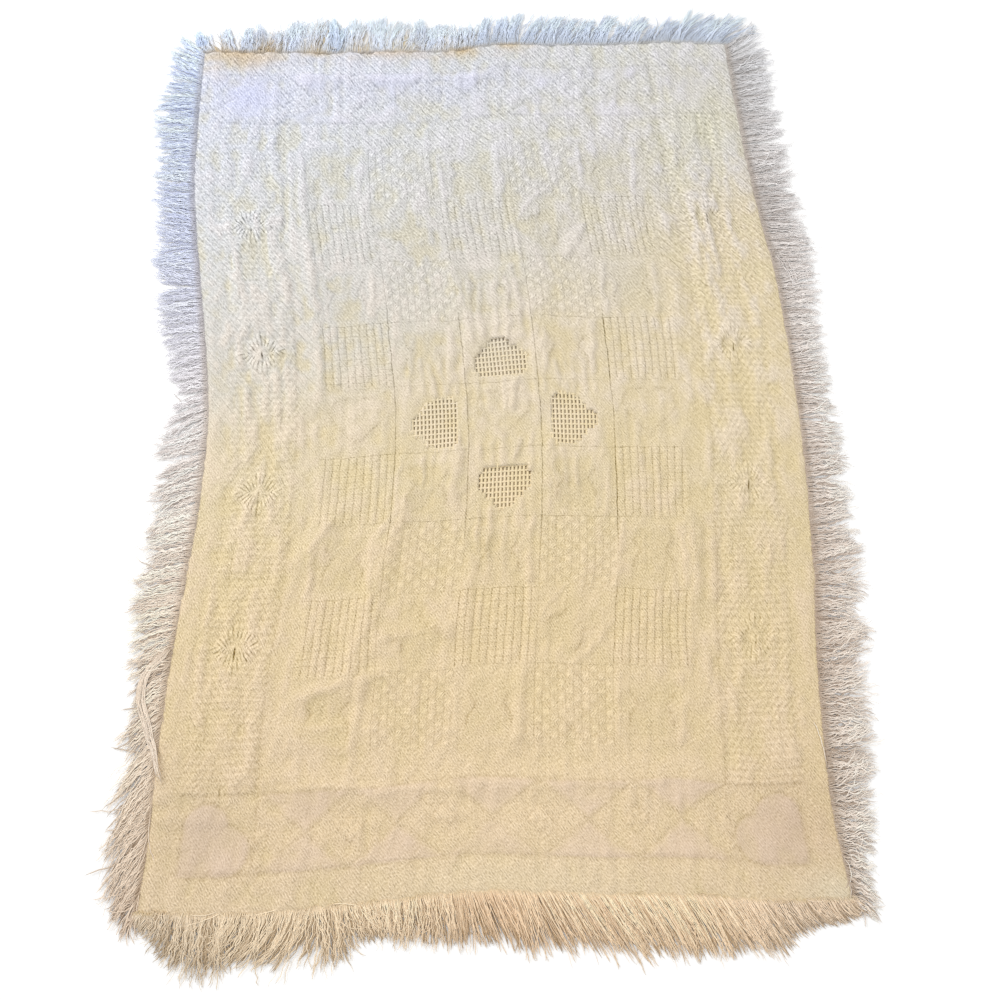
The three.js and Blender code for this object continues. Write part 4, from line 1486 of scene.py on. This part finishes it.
def fringe_tones(side, at, along_yarn, paleness):
    """A colour for each ring of each yarn: like the rim or darker at the root, both with painted shade, and
    greyer at the tip.
    """
    share = along_yarn / along_yarn[:, -1:]
    both = linear(tone_at(side.tones, at)) / LIGHT_ON_FLOOR
    pale, under = both[:, None, :3], both[:, None, 3:]
    paleness_here = np.clip(paleness[:, None] + side.tip_pale * (share - TIP_PALE_FROM), 0, 1)[..., None]
    own = FRINGE_LIGHT * (under + (pale - under) * paleness_here)
    even = np.zeros(len(at))
    rim = tones(*edge_of(side, at), even, even + FULL_HEIGHT, even, even)
    rim = rim * (RIM_SHADE + RIM_PALE * paleness)[:, None]
    root = side.over * rim[:, None] + (1 - side.over) * own * ROOT_SHADE
    root_long = ROOT_LONG + (ROOT_LONG_OVER - ROOT_LONG) * side.over
    from_root = soft_step(along_yarn, root_long, root_long)[..., None]
    mixed = root * (1 - from_root) + own * from_root
    return np.minimum(mixed * (1 - (1 - TIP_TINT) * share[..., None] ** 2), BRIGHTEST)


# Locks that lie apart from the rest: fringe, yarns, half width, and across and along from root to tip
LOOSE_LOCKS = [
    ("fringe_left", 36, 5.0, [
        (-388, -290), (-412, -322), (-410, -354), (-396, -389), (-386, -414), (-373, -450)]),
    ("fringe_right", 7, 7.0, [(391, 236), (401, 214), (408, 190), (408, 168)]),
    ("fringe_far", 34, 8.0, [(-386, 586), (-391, 600), (-397, 622)]),
    ("fringe_far", 34, 7.0, [(-194, 586), (-194, 614), (-198, 648)]),
    ("fringe_far", 26, 7.0, [(-304, 586), (-303, 610), (-309, 638)]),
    ("fringe_far", 26, 8.0, [(-70, 586), (-64, 612), (-67, 645)]),
]
LOCK_POINTS = 20
LOCK_YARN = 0.5
LOCK_SHORTEST = 0.78
LOCK_SWING = 0.8
LOCK_WAVES = 4
LOCK_PHASES = 0.4
LOCK_ENDS = 0.4
LOCK_SWELL = 0.7
LOCK_RISE = (2.0, 3.6)
LOCK_ROOT = 0.15
LOCK_OVER_CLOTH = 2.4
LOCK_CLIMB = 8
LOCK_PALENESS = (0.55, 0.9)


def lock_strands(count, half_wide, places, seed):
    """The yarns of one loose lock: paths, radii and way along each yarn."""
    draw = np.random.default_rng(seed)
    share = np.linspace(0, 1, LOCK_POINTS)
    at = share * draw.uniform(LOCK_SHORTEST, 1, (count, 1))
    steps = np.linspace(0, 1, len(places))
    lock_across, lock_along = np.array(places, float).T
    middle = np.stack([smooth_curve(steps, lock_across, at), smooth_curve(steps, lock_along, at)], -1)
    forward = np.gradient(middle, axis=1)
    forward /= np.linalg.norm(forward, axis=2, keepdims=True)
    swing = LOCK_SWING * np.sin(2 * np.pi * (LOCK_WAVES * at + draw.uniform(0, LOCK_PHASES, (count, 1))))
    swell = LOCK_ENDS + (1 - LOCK_ENDS) * np.sin(np.pi * at ** LOCK_SWELL)
    off = half_wide * draw.uniform(-1, 1, (count, 1)) * swell + swing
    there = middle + off[..., None] * np.stack([-forward[..., 1], forward[..., 0]], -1)
    there_across, there_along = there[..., 0], there[..., 1]
    lock_x, lock_y = laid(there_across, there_along)
    inside = soft_step(HALF_WIDTH - np.abs(there_across), 0, LOCK_CLIMB)
    inside = inside * soft_step(HALF_LENGTH - np.abs(there_along), 0, LOCK_CLIMB)
    rise = draw.uniform(*LOCK_RISE, (count, 1)) * np.sqrt(np.sin(np.pi * np.clip(at, LOCK_ROOT, 1)))
    lock_up = LOCK_YARN + rise + inside * (THICK + LOCK_OVER_CLOTH)
    paths = np.stack([lock_x * MM + shift_x, lock_y * MM + shift_y, lock_up * MM], -1)
    radii = tapered(LOCK_YARN, share, draw, count)
    steps_out = np.linalg.norm(np.diff(middle, axis=1), axis=2)
    return paths, radii, np.concatenate([np.zeros((count, 1)), np.cumsum(steps_out, 1)], 1)


fringe_cotton = plied_cotton("fringe_cotton", nub_scale=700.0, nub_shade=0.3, base_shade=0.86, bump_share=0.4,
                             bump_deep=0.3 * MM, roughness=0.9, gloss=0.25)
LOCK_SEED = 50
YARN_SEED = 100
SEEDS_FOR_SIDE = 10
LOOSE_SEED = 200
for number, side in enumerate(SIDES):
    node = side.node
    yarns = []
    for k, kind in enumerate(YARN_KINDS):
        yarns.append(strands(side, kind, LOCK_SEED + number, YARN_SEED + SEEDS_FOR_SIDE * number + k))
    for k, (lock_of, count, half_wide, places) in enumerate(LOOSE_LOCKS):
        if lock_of == node:
            root_place = np.full(count, float(np.dot(places[0], side.on)))
            lock = lock_strands(count, half_wide, places, LOOSE_SEED + k)
            yarns.append((*lock, root_place, np.linspace(*LOCK_PALENESS, count)))
    points, walls, ends, colours, first = [], [], [], [], 0
    for paths, radii, along_yarn, at, paleness in yarns:
        yarn_points, yarn_walls, yarn_ends = strand_mesh(paths, radii)
        points.append(yarn_points)
        walls.append(yarn_walls + first)
        ends.append(yarn_ends + first)
        first += len(yarn_points)
        colour = fringe_tones(side, at, along_yarn, paleness)
        colours.append(np.repeat(colour[:, :-1], YARN_SIDES, axis=1).reshape(-1, 3))
        colours.append(colour[:, -1])
    mesh = make_mesh(node + "_yarns", np.concatenate(points), [np.concatenate(walls), np.concatenate(ends)])
    paint(mesh, "tone", np.concatenate(colours))
    mesh.materials.append(fringe_cotton)
    fringe = bpy.data.objects.new(node + "_yarns", mesh)
    bpy.context.scene.collection.objects.link(fringe)
    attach(fringe, "root")
    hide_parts(node)

# Floor, light and camera
# A plain pale floor under the blanket, one broad soft lamp from the far left, one from the near right and an
# even sky, seen from above the near end.
FLOOR_HALF = 6.0
FLOOR_LOW = -0.0005
FLOOR_TONE = (0.96, 0.96, 0.96, 1)
floor_corners = [(FLOOR_HALF * x, FLOOR_HALF * y, 0) for x, y in ((-1, -1), (1, -1), (1, 1), (-1, 1))]
floor_mesh = make_mesh("floor", floor_corners, [np.array([[0, 1, 2, 3]])])
floor = bpy.data.objects.new("floor", floor_mesh)
floor.location.z = FLOOR_LOW
bpy.context.scene.collection.objects.link(floor)
pale_floor = Nodes("pale_floor")
pale_floor.coat(Base_Color=FLOOR_TONE, Roughness=0.95, Specular_IOR_Level=0.0)
floor_mesh.materials.append(pale_floor.material)

SKY_LIGHT = 0.70
sky = bpy.data.worlds.new("studio")
sky.use_nodes = True
sky.node_tree.nodes["Background"].inputs["Color"].default_value = (1, 1, 1, 1)
sky.node_tree.nodes["Background"].inputs["Strength"].default_value = SKY_LIGHT
bpy.context.scene.world = sky
# Square soft lamps that face the middle of the blanket: name, place, power, colour
LAMP_SIZE = 1.6
LAMPS = [
    ("window_side", (-2.2, 1.9, 1.7), 82, (1.0, 0.99, 0.98)),
    ("room_side", (1.8, -1.6, 2.2), 22, (1.0, 0.985, 0.96)),
]
for lamp_name, lamp_place, power, lamp_colour in LAMPS:
    light = bpy.data.lights.new(lamp_name, "AREA")
    light.size = LAMP_SIZE
    light.energy = power
    light.color = lamp_colour
    lamp = bpy.data.objects.new(lamp_name, light)
    lamp.location = lamp_place
    lamp.rotation_euler = (-Vector(lamp_place)).to_track_quat("-Z", "Y").to_euler()
    bpy.context.scene.collection.objects.link(lamp)

bpy.context.scene.view_settings.view_transform = "Standard"
VIEW_PLACE = (-0.0081, -0.4878, 1.1747)
VIEW_TURN = (17.707, -0.52, -1.795)
VIEW_LENS = 35.46
VIEW_SENSOR = 36
camera = bpy.data.objects.new("camera", bpy.data.cameras.new("camera"))
camera.data.sensor_width = VIEW_SENSOR
camera.data.lens = VIEW_LENS
camera.location = Vector(VIEW_PLACE) + Vector((shift_x, shift_y, 0))
camera.rotation_euler = [math.radians(angle) for angle in VIEW_TURN]
bpy.context.scene.collection.objects.link(camera)
bpy.context.scene.camera = camera
